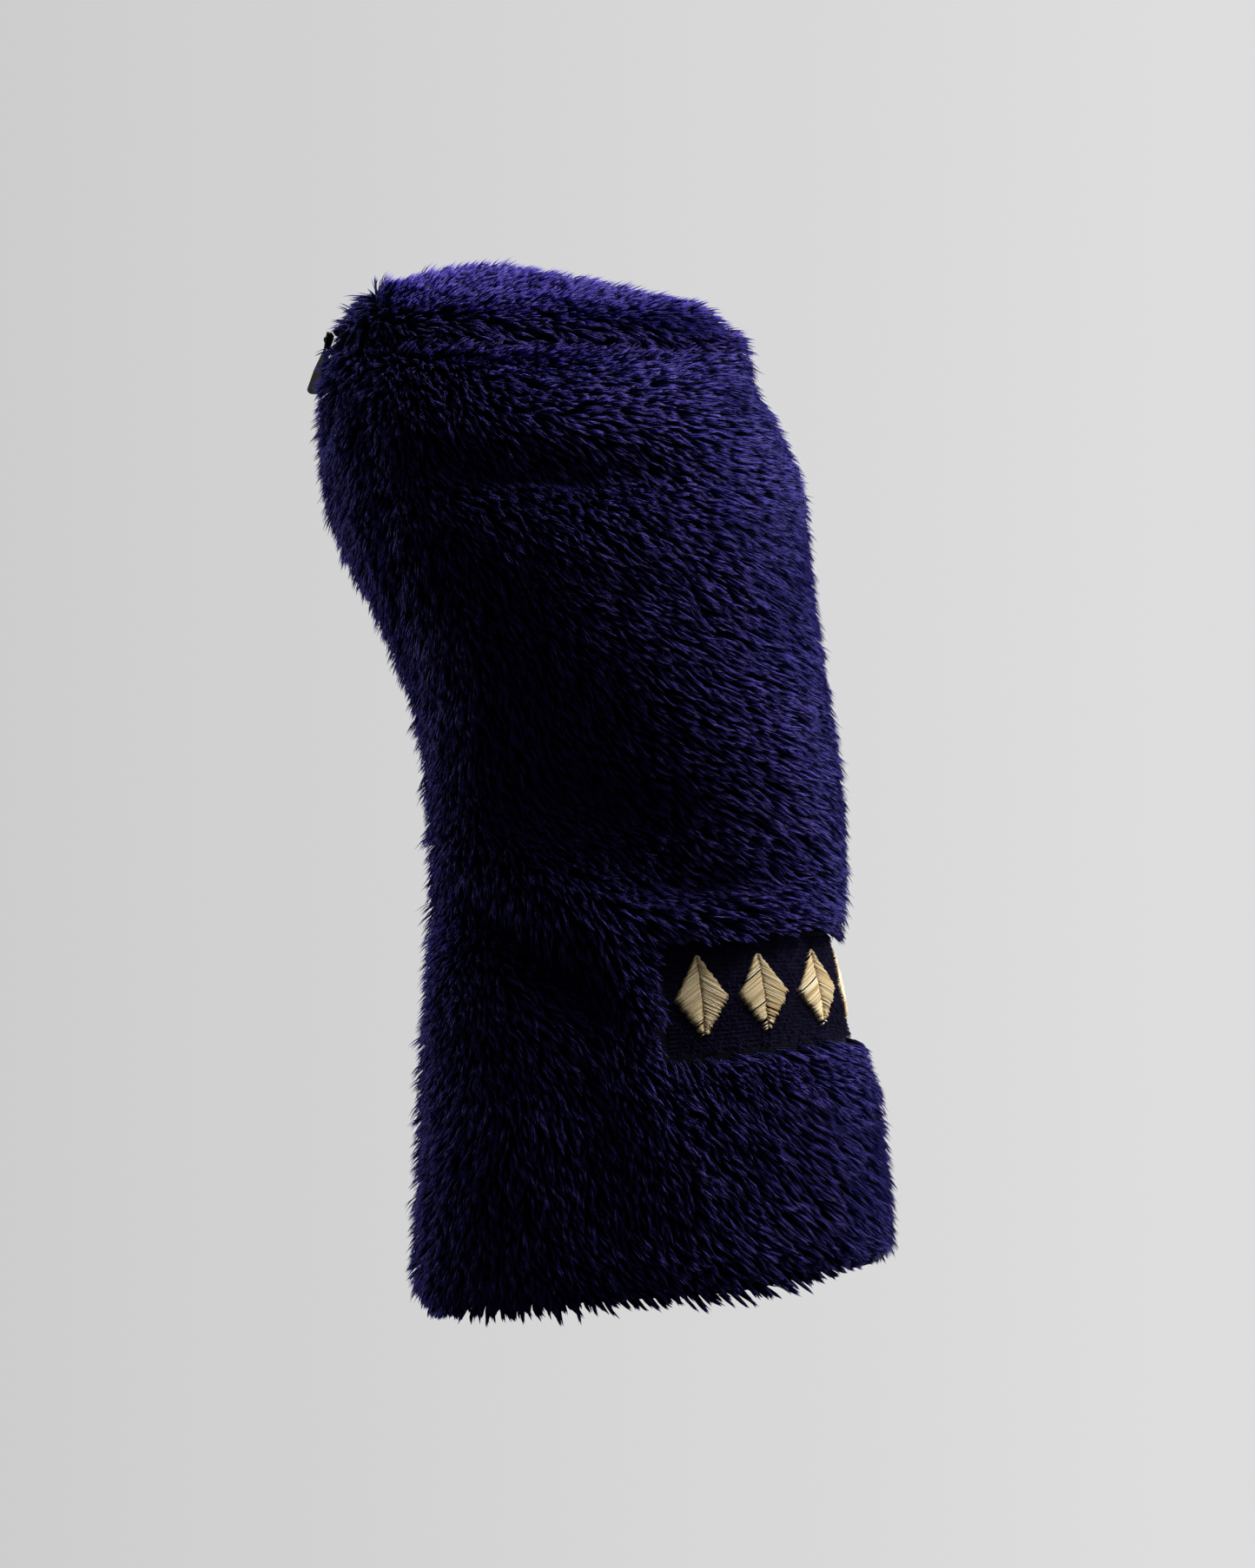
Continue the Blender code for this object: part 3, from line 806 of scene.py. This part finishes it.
def beside_band(t, angle):
    """Sites just above the band or past its ends, and sites just below it."""
    beside = from_heel(angle)
    above = (beside < BAND_HALF_DEG + 4.0) & (t >= BAND_HIGH) & (t < BAND_HIGH + RIM_RISE)
    past_end = ((beside >= BAND_HALF_DEG) & (beside < BAND_HALF_DEG + 9.0)
                & (t > BAND_LOW - 0.2) & (t < BAND_HIGH + 0.2))
    below = (beside < BAND_HALF_DEG + 2.0) & (t < BAND_LOW) & (t > BAND_LOW - 0.45)
    return above | past_end, below


def crown_edge(roots, region):
    """Where the crown's pile parts, and where it drapes over the toe end."""
    on_crown, x = region == "crown", roots[:, 0]
    return bell(x, CROWN_PARTING_X, 8.0) * on_crown, falling(-114.0, -109.0, x) * on_crown


def near_hem(t):
    """1 at the hem and 0 a little way above it."""
    return falling(0.4, 1.2, t)


def tuft_leans(rng, t, angle, roots, region):
    """Lean of each tuft from the surface's normal, in degrees, at its root and its tip."""
    on_crown, count = region == "crown", len(t)
    combed = 9.0 * (0.5 + 0.5 * heelward(angle))
    tip = LEAN_TIP + combed + rng.normal(0.0, 6.0, count)
    root = LEAN_ROOT + combed + rng.normal(0.0, 5.0, count)
    tip = np.where(on_crown, CROWN_LEAN_TIP + rng.normal(0.0, 5.0, count), tip)
    root = np.where(on_crown, CROWN_LEAN_ROOT, root)
    parting, draped = crown_edge(roots, region)
    tip = tip - 9.0 * parting + 24.0 * draped
    root = root - 8.0 * parting + 26.0 * draped
    _, below_band = beside_band(t, angle)
    tip = np.where(below_band, BELOW_BAND_TIP, tip) + 8.0 * near_hem(t)
    return np.where(below_band, BELOW_BAND_ROOT, root), tip


def tuft_lengths(rng, t, angle, roots, region):
    """Length of each tuft: shorter at seams, round the band and by the tab."""
    x, hem = roots[:, 0], near_hem(t)
    round_band, below_band = beside_band(t, angle)
    length = PILE_LENGTH * (1.0 + rng.normal(0.0, 0.10, len(t)) + 0.06 * ripple(roots, 9.0, 41))
    near_seam = falling(1.0, 5.5, seam_distance(t, angle))
    length *= 1.0 - 0.15 * near_seam * np.isin(region, ("front", "back"))
    length *= np.where(below_band, 0.8, 1.0)
    length *= 1.0 - hem * rng.uniform(0.25, 0.5, len(t))
    fringe = smooth(-88.0, -60.0, x) * falling(0.0, 28.0, x)
    length += hem * (fringe - 0.8 * smooth(15.0, 42.0, x))
    parting, draped = crown_edge(roots, region)
    length += 2.0 * draped - 2.0 * parting
    by_tab = (from_toe(angle) < 10.0) & (t > 15.0) & (t < CROWN_SEAM)
    length *= np.where(by_tab, 0.9, 1.0)
    return length * np.where(round_band, 0.8, 1.0)


def build_pile(look):
    """Comb every tuft of the four panels and build their fibres."""
    rng = np.random.default_rng(7)
    surface = layer_surface(BACKING[0] + 0.15)
    t, angle = tuft_sites(HEM_RING + 0.02, LAST_RING - 0.06, TUFT_SPACING, rng)
    t = hemmed(t, angle)
    keep = ~in_window(t, angle)
    t, angle = t[keep], angle[keep]
    region = region_of(t, angle)
    roots = surface(t, angle)
    normal = normals_of(surface, t, angle)
    flow = comb(t, angle, roots, normal, region)
    count = len(t)

    swirl = np.radians(rng.normal(0.0, 9.0, count) + 9.0 * ripple(roots, 12.0, 31))[:, None]
    flow = unit(flow * np.cos(swirl) + np.cross(normal, flow) * np.sin(swirl))
    lean_root, lean_tip = tuft_leans(rng, t, angle, roots, region)
    length = tuft_lengths(rng, t, angle, roots, region)
    tone = 0.5 + rng.normal(0.0, 0.13, count) + 0.10 * ripple(roots, 30.0, 51)
    tone += 0.05 * ripple(roots, 7.0, 52)
    hem = near_hem(t)[:, None]

    # Every tuft's fibres: their roots close together, their tips nearly meeting.
    shape = (count, FIBRES_PER_TUFT)
    turn = rng.uniform(0, 2 * np.pi, shape)
    spread = TUFT_RADIUS * np.sqrt(rng.uniform(0, 1, shape))
    fibres = {
        "length": length[:, None] * rng.uniform(0.80, 1.04, shape),
        "lean_root": lean_root[:, None] + rng.normal(0, 5.0, shape),
        "lean_tip": lean_tip[:, None] + rng.normal(0, 4.0, shape),
        "along_off": spread * np.cos(turn),
        "side_off": spread * np.sin(turn),
        "gather": rng.uniform(0.68, 0.94, shape) * (1.0 - 0.2 * hem),
        "stray": rng.normal(0.0, 0.20, (*shape, 3)),
        "width": FIBRE_WIDTH * rng.uniform(0.75, 1.2, shape) * (1.0 + 1.1 * hem),
        "tint": tone[:, None] + rng.normal(0, 0.10, shape),
    }
    loose = rng.uniform(size=shape) < LOOSE_SHARE
    fibres["stray"][loose] *= LOOSE_STRAY
    for key, rows in (("roots", roots), ("normal", normal), ("flow", flow)):
        fibres[key] = np.repeat(rows[:, None], FIBRES_PER_TUFT, 1)
    fibres = {key: rows.reshape(-1, *rows.shape[2:]) for key, rows in fibres.items()}
    owner = np.repeat(region, FIBRES_PER_TUFT)

    nodes = {"front": "front_fur_panel", "back": "back_fur_panel", "toe": "toe_gusset",
             "crown": "crown_gusset"}
    for name, node in nodes.items():
        chosen = np.flatnonzero(owner == name)
        parts = int(np.ceil(len(chosen) / FIBRES_PER_PIECE))
        for k, share in enumerate(np.array_split(chosen, parts)):
            spikes(f"{name}_pile_{k + 1}", "navy_pile", node, look,
                   **{key: value[share] for key, value in fibres.items()})


def build_backing(look):
    """The knitted backing of each panel, following the hem's curve up at the heel."""
    outside, inside = (on_hem(layer_surface(depth)) for depth in BACKING)
    rows = np.linspace(HEM_RING, CROWN_SEAM - 0.02, 130)
    gap = 0.15

    def columns(low, high, count):
        share = np.linspace(0.0, 1.0, count)
        return low[:, None] * (1 - share) + high[:, None] * share

    half = toe_half(rows)
    front = columns(np.full(len(rows), gap), 180.0 - half - gap, 90)
    toe = columns(180.0 - half + gap, 180.0 + half - gap, 36)
    front_and_back("{}_backing", "{}_fur_panel", rows, front, outside, inside, look,
                   "navy_pile")
    shell("toe_backing", rows, toe, outside, inside, look, "navy_pile", "toe_gusset")
    crown_shell("crown_backing", "crown_gusset", 0.02, 40, 2.5, outside, inside, look,
                "navy_pile")


# ---- Band and embroidery

RING_SPACING_AT_BAND = 17.5
LOZENGE_COUNT, LOZENGE_PITCH = 7, 19.6
LOZENGE_WIDTH, LOZENGE_HEIGHT = 17.0, 27.0
THREAD_SLANT = 33.0
THREAD_PITCH, THREAD_RADIUS, THREAD_FLATNESS = 0.44, 0.235, 0.8
NAP_COUNT = 12000


def band_point(along, height, depth):
    """A point on the band, from distances along its face from the heel edge and up it."""
    angles = np.linspace(-BAND_HALF_DEG - 6.0, BAND_HALF_DEG + 6.0, 2001)
    walked = walk(flat_layer(np.full(len(angles), BAND_MIDDLE), angles, BAND[0]))
    angle = np.interp(along, walked - walked[len(angles) // 2], angles)
    return flat_layer(BAND_MIDDLE + height / RING_SPACING_AT_BAND, angle, depth)


def build_band(ground, nap):
    """Knit ground with stitched-down rows, and its short brushed nap."""
    rows = np.linspace(BAND_LOW + 0.03, BAND_HIGH - 0.03, 74)
    around = np.tile(np.linspace(-BAND_HALF_DEG + 0.6, BAND_HALF_DEG - 0.6, 260),
                     (len(rows), 1))

    def face(t, angle):
        smooth_face = pile_surface(t, angle)
        stitched = 0.16 * np.sin(2 * np.pi * (t - BAND_LOW) * RING_SPACING_AT_BAND / 1.35)
        sag = 0.35 * ripple(smooth_face, 18.0, 61) + 0.08 * ripple(smooth_face, 2.2, 62)
        rim = falling(0.0, 0.09, np.minimum(t - BAND_LOW, BAND_HIGH - t))
        return flat_layer(t, angle, BAND[0] + 0.1 - stitched - sag * 0.5 + 0.9 * rim)

    def under(t, angle):
        return flat_layer(t, angle, BAND[1])

    shell("band_ground", rows, around, face, under, ground, "navy_knit",
          "embroidered_band")

    rng = np.random.default_rng(17)
    count = NAP_COUNT
    t = rng.uniform(BAND_LOW + 0.05, BAND_HIGH - 0.05, count)
    angle = rng.uniform(-BAND_HALF_DEG + 1.2, BAND_HALF_DEG - 1.2, count)
    roots = face(t, angle)
    normal = normals_of(pile_surface, t, angle)
    flow = np.tile([0.55, 0.0, -0.83], (count, 1)) + rng.normal(0, 0.35, (count, 3))
    flow = lay_flat(flow, normal)
    edge = np.minimum(t - BAND_LOW, BAND_HIGH - t)
    length = rng.uniform(0.7, 1.5, count) + 1.2 * falling(0.0, 0.25, edge)
    tint = 0.5 + rng.normal(0, 0.15, count) + 0.15 * ripple(roots, 12.0, 63)
    none = np.zeros(count)
    spikes("band_nap", "navy_knit", "embroidered_band", nap, roots, normal, flow, length,
           lean_root=rng.uniform(30, 50, count), lean_tip=rng.uniform(60, 85, count),
           along_off=none, side_off=none, gather=none, stray=rng.normal(0, 0.1, (count, 3)),
           width=rng.uniform(0.12, 0.2, count), tint=tint)


def thread_tubes(name, look, starts, ends, centre, rng, node):
    """Satin stitches: rounded threads that rise out of the ground, lie over it and dive."""
    stations, sides = 9, 6
    count = len(starts)
    share = np.linspace(0.0, 1.0, stations)
    along, height = (starts[:, None, k] * (1 - share) + ends[:, None, k] * share
                     for k in (0, 1))
    run = np.linalg.norm(ends - starts, axis=1)[:, None]
    from_end = np.minimum(share, 1 - share)[None] * run
    lift = 1.05 * smooth(-0.15, 0.9, from_end) + 0.25 * np.sin(np.pi * share)[None]
    lift = np.where(share[None] < 0.5, np.maximum(lift, 0.85), lift)
    lift += rng.normal(0, 0.05, (count, 1))
    depth = BAND[0] - lift + 0.35
    middle = band_point(centre + along, height, depth)
    heading = unit(np.gradient(middle, axis=1))
    outward = unit(band_point(centre + along, height, depth - 1.0) - middle)
    side = unit(np.cross(heading, outward))
    upward = THREAD_FLATNESS * np.cross(side, heading)
    radius = THREAD_RADIUS * rng.uniform(0.9, 1.12, (count, 1, 1))
    points = rim_points(middle, side, upward, radius, sides).reshape(count, -1, 3)
    faces = tube_triangles(stations, sides)
    top = (stations - 1) * sides
    for k in range(1, sides - 1):
        faces += [(0, k, k + 1), (top, top + k + 1, top + k)]
    tint = 0.5 + rng.normal(0, 0.26, count)
    strands(name, look, points, np.array(faces)[:, ::-1], tint, np.repeat(share, sides),
            node)


def build_lozenge(number, look):
    """A lozenge in two halves of satin stitch that slope down from its middle line."""
    rng = np.random.default_rng(100 + number)
    centre = (number - (LOZENGE_COUNT - 1) / 2) * LOZENGE_PITCH
    half_wide, half_tall = LOZENGE_WIDTH / 2, LOZENGE_HEIGHT / 2
    slope = np.tan(radians(THREAD_SLANT))
    pitch = THREAD_PITCH / np.cos(radians(THREAD_SLANT))
    starts, ends = [], []
    for way in (-1.0, 1.0):
        for top in np.arange(half_tall - 0.3, -half_tall, -pitch):
            top = top + rng.uniform(-0.05, 0.05)
            if rng.uniform() < 0.05:
                continue
            upper = (1.0 - top / half_tall) / (1.0 / half_wide - slope / half_tall)
            lower = (1.0 + top / half_tall) / (1.0 / half_wide + slope / half_tall)
            reach = min(x for x in (upper, lower) if x > 0.0)
            reach += rng.uniform(-0.45, 0.35)
            if reach < 0.9:
                continue
            starts.append((way * rng.uniform(-0.25, 0.15), top + way * 0.1))
            ends.append((way * reach, top - reach * slope))
    thread_tubes(f"gold_motif_{number + 1}", look, np.array(starts), np.array(ends), centre,
                 rng, f"gold_lozenge_{number + 1}")


# ---- Inside: wadding, lining, hem facing, casing and elastic

def half_columns(rows, count):
    """Angles over the front half, just short of the side seams, for each row."""
    return np.tile(np.linspace(0.2, 179.8, count), (rows, 1))


def with_wrinkles(depth, height, seed):
    """A depth that wanders a little, as slack cloth does."""
    def wandering(t, angle):
        points = pile_surface(t, angle)
        base = depth(t) if callable(depth) else depth
        return base + height * ripple(points * (1.0, 1.0, 0.45), 15.0, seed)
    return layer_surface(wandering)


def lining_depth(t):
    """The lining lies deeper in the head, under the padding."""
    return LINING_SKIRT + (LINING_HEAD - LINING_SKIRT) * smooth(7.2, 8.2, t)


def build_inside(wadding, lining, tape, casing, elastic):
    """The layers that the mouth gives on to."""
    def three_part_layer(name, node, low, row_count, column_count, *rest):
        rows = np.linspace(low, CROWN_SEAM - 0.03, row_count)
        columns = half_columns(row_count, column_count)
        made = front_and_back("{}_" + name, "{}_" + node, rows, columns, *rest)
        return made + [crown_shell("crown_" + name, "crown_" + node, 0.03, 26, 4.0, *rest)]

    outer, inner = layer_surface(PADDING[0]), with_wrinkles(PADDING[1] - 0.15, 0.12, 71)
    for pad in three_part_layer("wadding", "padding", PADDING_FROM, 60, 70, outer, inner,
                                wadding, "wadding"):
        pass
    slack = 0.25
    outer = with_wrinkles(lambda t: lining_depth(t) + slack, slack, 72)
    inner = with_wrinkles(lambda t: lining_depth(t) + slack + LINING_THICK * 0.6, slack, 72)
    three_part_layer("lining_cloth", "lining", 1.0, 110, 100, outer, inner, lining,
                     "navy_lining")

    def ring(name, low, high, row_count, step, outer, inner, look, slot, node):
        rows = np.linspace(low, high, row_count)
        round_it = np.tile(np.arange(0.0, 360.0, step), (row_count, 1))
        shell(name, rows, round_it, outer, inner, look, slot, node, closed=True)

    outer, inner = (on_hem(layer_surface(depth)) for depth in HEM_FACING)
    ring("hem_tape", HEM_RING, HEM_FACING_TO, 14, 2.0, outer, inner, tape, "hem_facing",
         "hem_facing")

    def gathered(depth, height):
        def surface(t, angle):
            folds = height * (0.5 + 0.5 * np.sin(np.radians(angle) * 46.0))
            return layer_surface(lambda a, b: depth + folds)(t, angle)
        return surface

    def ribbed(t, angle):
        return ELASTIC[0] + 0.10 * np.sin(t * 180.0)

    outer, inner = (gathered(depth, 0.9) for depth in CASING)
    ring("gathered_casing", 6.05, 6.95, 12, 1.0, outer, inner, casing, "casing",
         "elastic_casing")
    ring("ribbed_elastic", 6.15, 6.85, 30, 1.0, layer_surface(ribbed),
         layer_surface(ELASTIC[1]), elastic, "elastic", "neck_elastic")


# ---- Tab

HINGE = np.array(frame["joints"][0]["pos_m"]) / MM
TAB_LEAN, TAB_WIDTH = 15.0, 14.0
TAB_START, TAB_STITCHED, TAB_LENGTH, TAB_STRIP, TAB_LOOP = 1.2, 6.0, 20.5, 0.85, 1.5
TAB_TWIST = 15.0
TWILL_HEIGHT, TWILL_PITCH_ALONG, TWILL_PITCH_ACROSS = 0.045, 0.95, 1.1
BARTACK_STITCHES, BARTACK_HALF, BARTACK_THREAD = 16, 5.4, 0.17
BARTACK_FROM, BARTACK_LONG = 2.8, 1.6


def tab_point(along, away, side):
    """Points of the hanging tab, along it, away from the pile and across it."""
    lean = radians(TAB_LEAN)
    down = np.array([-np.sin(lean), 0.0, -np.cos(lean)])
    out = np.array([-np.cos(lean), 0.0, np.sin(lean)])
    along, away, side = (np.asarray(v, float)[..., None] for v in (along, away, side))
    twist = np.radians(TAB_TWIST * smooth(TAB_STITCHED - 4.0, TAB_LENGTH - 6.0, along))
    away, side = (away * np.cos(twist) + side * np.sin(twist),
                  side * np.cos(twist) - away * np.sin(twist))
    return HINGE + along * down + away * out + side * np.array([0.0, 1.0, 0.0])


def tab_path():
    """The webbing's middle line: down one layer, round the fold and back up."""
    bend = TAB_LOOP - TAB_STRIP / 2
    end = TAB_LENGTH - TAB_LOOP
    root = TAB_STRIP / 2 + 0.06
    straight = [(s, root) for s in np.linspace(TAB_START, TAB_STITCHED, 10)[:-1]]
    swell = [(TAB_STITCHED + share * (end - TAB_STITCHED),
              root + (bend - root) * share ** 2.2)
             for share in np.linspace(0.0, 1.0, 26)[:-1]]
    turn = [(end + bend * np.sin(a), bend * np.cos(a)) for a in np.linspace(0, np.pi / 2, 9)]
    half = straight + swell + turn
    return np.array(half + [(s, -n) for s, n in reversed(half[:-1])])


def build_tab(webbing, thread):
    """A folded loop of flat webbing with a woven face and rounded selvedges, and the
    stitches across its root."""
    path = tab_path()
    tangent = unit(np.gradient(path, axis=0))
    across = np.stack([tangent[:, 1], -tangent[:, 0]], axis=-1)
    walked = walk(path)
    width = np.linspace(-1.0, 1.0, 49)
    edge = np.sqrt(np.clip(1.0 - np.abs(width) ** 14, 0.0, 1.0))
    points = []
    for face in (1.0, -1.0):
        picks = (walked[:, None] / TWILL_PITCH_ALONG
                 + width[None] * TAB_WIDTH / 2 / TWILL_PITCH_ACROSS)
        twill = TWILL_HEIGHT * np.sin(2 * np.pi * picks)
        thick = (TAB_STRIP / 2 - 0.05) * edge[None] + twill * edge[None]
        place = path[:, None] + face * thick[..., None] * -across[:, None]
        side = np.broadcast_to(width[None] * TAB_WIDTH / 2, thick.shape)
        points.append(tab_point(place[..., 0], place[..., 1], side).reshape(-1, 3))
    faces = [(face[0], *face[:0:-1]) for face in sheet_faces(len(path), len(width))]
    loop = mesh_object("tab_webbing", np.concatenate(points), faces, webbing)
    register(loop, "side_tab", "tab")

    sides, stations = 6, 7
    top = (stations - 1) * sides
    stitch = [(a, b, b + sides, a + sides) for a, b in tube_edges(stations, sides)]
    stitch += [tuple(reversed(range(sides))), tuple(range(top, top + sides))]
    share = np.linspace(0.0, 1.0, stations)[:, None]
    phase = 2 * np.pi * np.arange(sides) / sides
    points, faces = [], []
    for k, middle in enumerate(np.linspace(-BARTACK_HALF, BARTACK_HALF, BARTACK_STITCHES)):
        along = BARTACK_FROM + BARTACK_LONG * (share if k % 2 else 1.0 - share)
        away = TAB_STRIP + 0.1 + 0.28 * np.sin(np.pi * share)
        side = middle + 0.7 * (share - 0.5)
        rims = tab_point(along, away + BARTACK_THREAD * np.sin(phase),
                         side + BARTACK_THREAD * np.cos(phase))
        points.append(rims.reshape(-1, 3))
        faces += [tuple(k * stations * sides + corner for corner in face) for face in stitch]
    bartack = mesh_object("bartack_threads", np.concatenate(points), faces, thread)
    register(bartack, "tab_bartack", "tab")


# ---- Stage

VIEW_CENTRE = (-29.4, 0.0, 159.0)
VIEW_HEIGHT, VIEW_DISTANCE = 485.1, 1800.0
FLOOR_BELOW, FLOOR_RADIUS, FLOOR_FADE = 800.0, 4200.0, 2200.0
FLOOR_CORNERS = 96
LIGHT_SIZE = 600.0
LIGHTS = {
    "key": ((880.0, -120.0, 1330.0), 39.0),
    "rim": ((-1000.0, 420.0, 500.0), 8.0),
    "top": ((420.0, 300.0, 1400.0), 20.0),
    "low back": ((-150.0, 950.0, -420.0), 5.0),
}


def build_camera():
    """A level camera in front of the cover, at its middle height."""
    camera = bpy.data.cameras.new("camera")
    camera.sensor_width = 36.0
    camera.lens = camera.sensor_width * VIEW_DISTANCE / VIEW_HEIGHT
    holder = add_object("camera", camera)
    x, y, z = (MM * c for c in VIEW_CENTRE)
    holder.location = (x, y - VIEW_DISTANCE * MM, z)
    holder.rotation_euler = (radians(90.0), 0.0, 0.0)
    camera.clip_end = 50.0
    bpy.context.scene.camera = holder


def area_light(name, place_mm, watts):
    """A round softbox that faces the cover."""
    light = bpy.data.lights.new(name, "AREA")
    light.shape = "DISK"
    light.size = LIGHT_SIZE * MM
    light.energy = watts
    holder = add_object(name, light)
    place = Vector([MM * c for c in place_mm])
    holder.location = place
    aim = Vector([MM * c for c in VIEW_CENTRE]) - place
    holder.rotation_euler = aim.to_track_quat("-Z", "Y").to_euler()


# The wall that the camera sees, by X, painted darker on the left and brighter on the right as
# painted shading, and the glow that lights the cover, by direction.
WALL_FROM_TO, WALL_PAINTED_SHADE = (-0.11, 0.09), (0.61, 0.725)
GLOW_TOWARDS = (0.45, 0.62, 0.62)
GLOW_FROM_TO, GLOW_SHADE = (-0.15, 1.0), (0.05, 1.3)


def build_world():
    """A pale room that is brighter above and behind than in front."""
    world = bpy.data.worlds.new("room")
    bpy.context.scene.world = world
    room = Graph(world)
    room.tree.nodes.clear()
    axes = room.axes(room.node("ShaderNodeTexCoord").outputs["Generated"])
    # Painted shading: the wall that the camera sees is darker to the left and brighter to the
    # right.
    wall = room.span(axes[0], *WALL_FROM_TO, *WALL_PAINTED_SHADE)
    seen = room.node("ShaderNodeBackground", Color=wall)
    total = 0.0
    for axis, weight in zip(axes, GLOW_TOWARDS):
        total = room.maths("MULTIPLY_ADD", axis, weight, total)
    light = room.span(total, *GLOW_FROM_TO, *GLOW_SHADE)
    glow = room.node("ShaderNodeBackground", Color=light)
    mix = room.node("ShaderNodeMixShader")
    camera_ray = room.node("ShaderNodeLightPath").outputs["Is Camera Ray"]
    room.feed(mix.inputs, camera_ray, glow.outputs[0], seen.outputs[0])
    room.node("ShaderNodeOutputWorld", Surface=mix.outputs[0])


def build_floor():
    """A pale studio floor well below the hanging cover; its rim fades out."""
    look = Look("floor", 0.9, Specular_IOR_Level=0.1)
    grain = look.noise(0.02, 3.0)
    look.colour(look.mix(grain, grey(0.50), grey(0.53)))
    reach = look.node("ShaderNodeVectorMath", operation="LENGTH")
    look.feed(reach.inputs, look.place)
    fade = look.span(reach.outputs["Value"], FLOOR_FADE, FLOOR_RADIUS, 1.0, 0.0,
                     interpolation_type="SMOOTHSTEP")
    look.set_up(look.shader, Alpha=fade)
    angles = np.linspace(0, 2 * np.pi, FLOOR_CORNERS, endpoint=False)
    rim = vectors(FLOOR_RADIUS * np.cos(angles), FLOOR_RADIUS * np.sin(angles), -FLOOR_BELOW)
    floor = mesh_object("floor", rim, [tuple(range(FLOOR_CORNERS))], look.made)
    floor.visible_diffuse = False
    floor.visible_glossy = False


def main():
    """Build every piece, then the room round them."""
    pile = pile_look()
    build_backing(backing_look())
    build_pile(pile)
    build_band(band_look(), nap_look())
    gold = gold_look()
    for number in range(LOZENGE_COUNT):
        build_lozenge(number, gold)
    navy, deep = (0.008, 0.008, 0.022), (0.025, 0.024, 0.060)
    build_inside(wadding_look(), cloth_look("lining_cloth", navy, deep, 1.3),
                 cloth_look("hem_tape_cloth", (0.005, 0.005, 0.012), (0.02, 0.02, 0.04), 0.9),
                 cloth_look("casing_cloth", navy, deep, 1.3),
                 cloth_look("elastic_rib", grey(0.006), grey(0.03), 1.1))
    webbing = webbing_look("webbing", 0.009)
    build_tab(webbing, webbing_look("bartack_thread", 0.014))
    carried = {
        "tab_anchor": webbing,
        "band_stabiliser": cloth_look("tearaway", (0.4, 0.4, 0.39), (0.62, 0.62, 0.6), 0.7),
    }
    for node, look in carried.items():
        for slot in frame["nodes"][node].material_slots:
            slot.material = look
    build_world()
    build_floor()
    for name, (place, watts) in LIGHTS.items():
        area_light(name, place, watts)
    bpy.context.scene.view_settings.view_transform = "Standard"
    build_camera()


main()
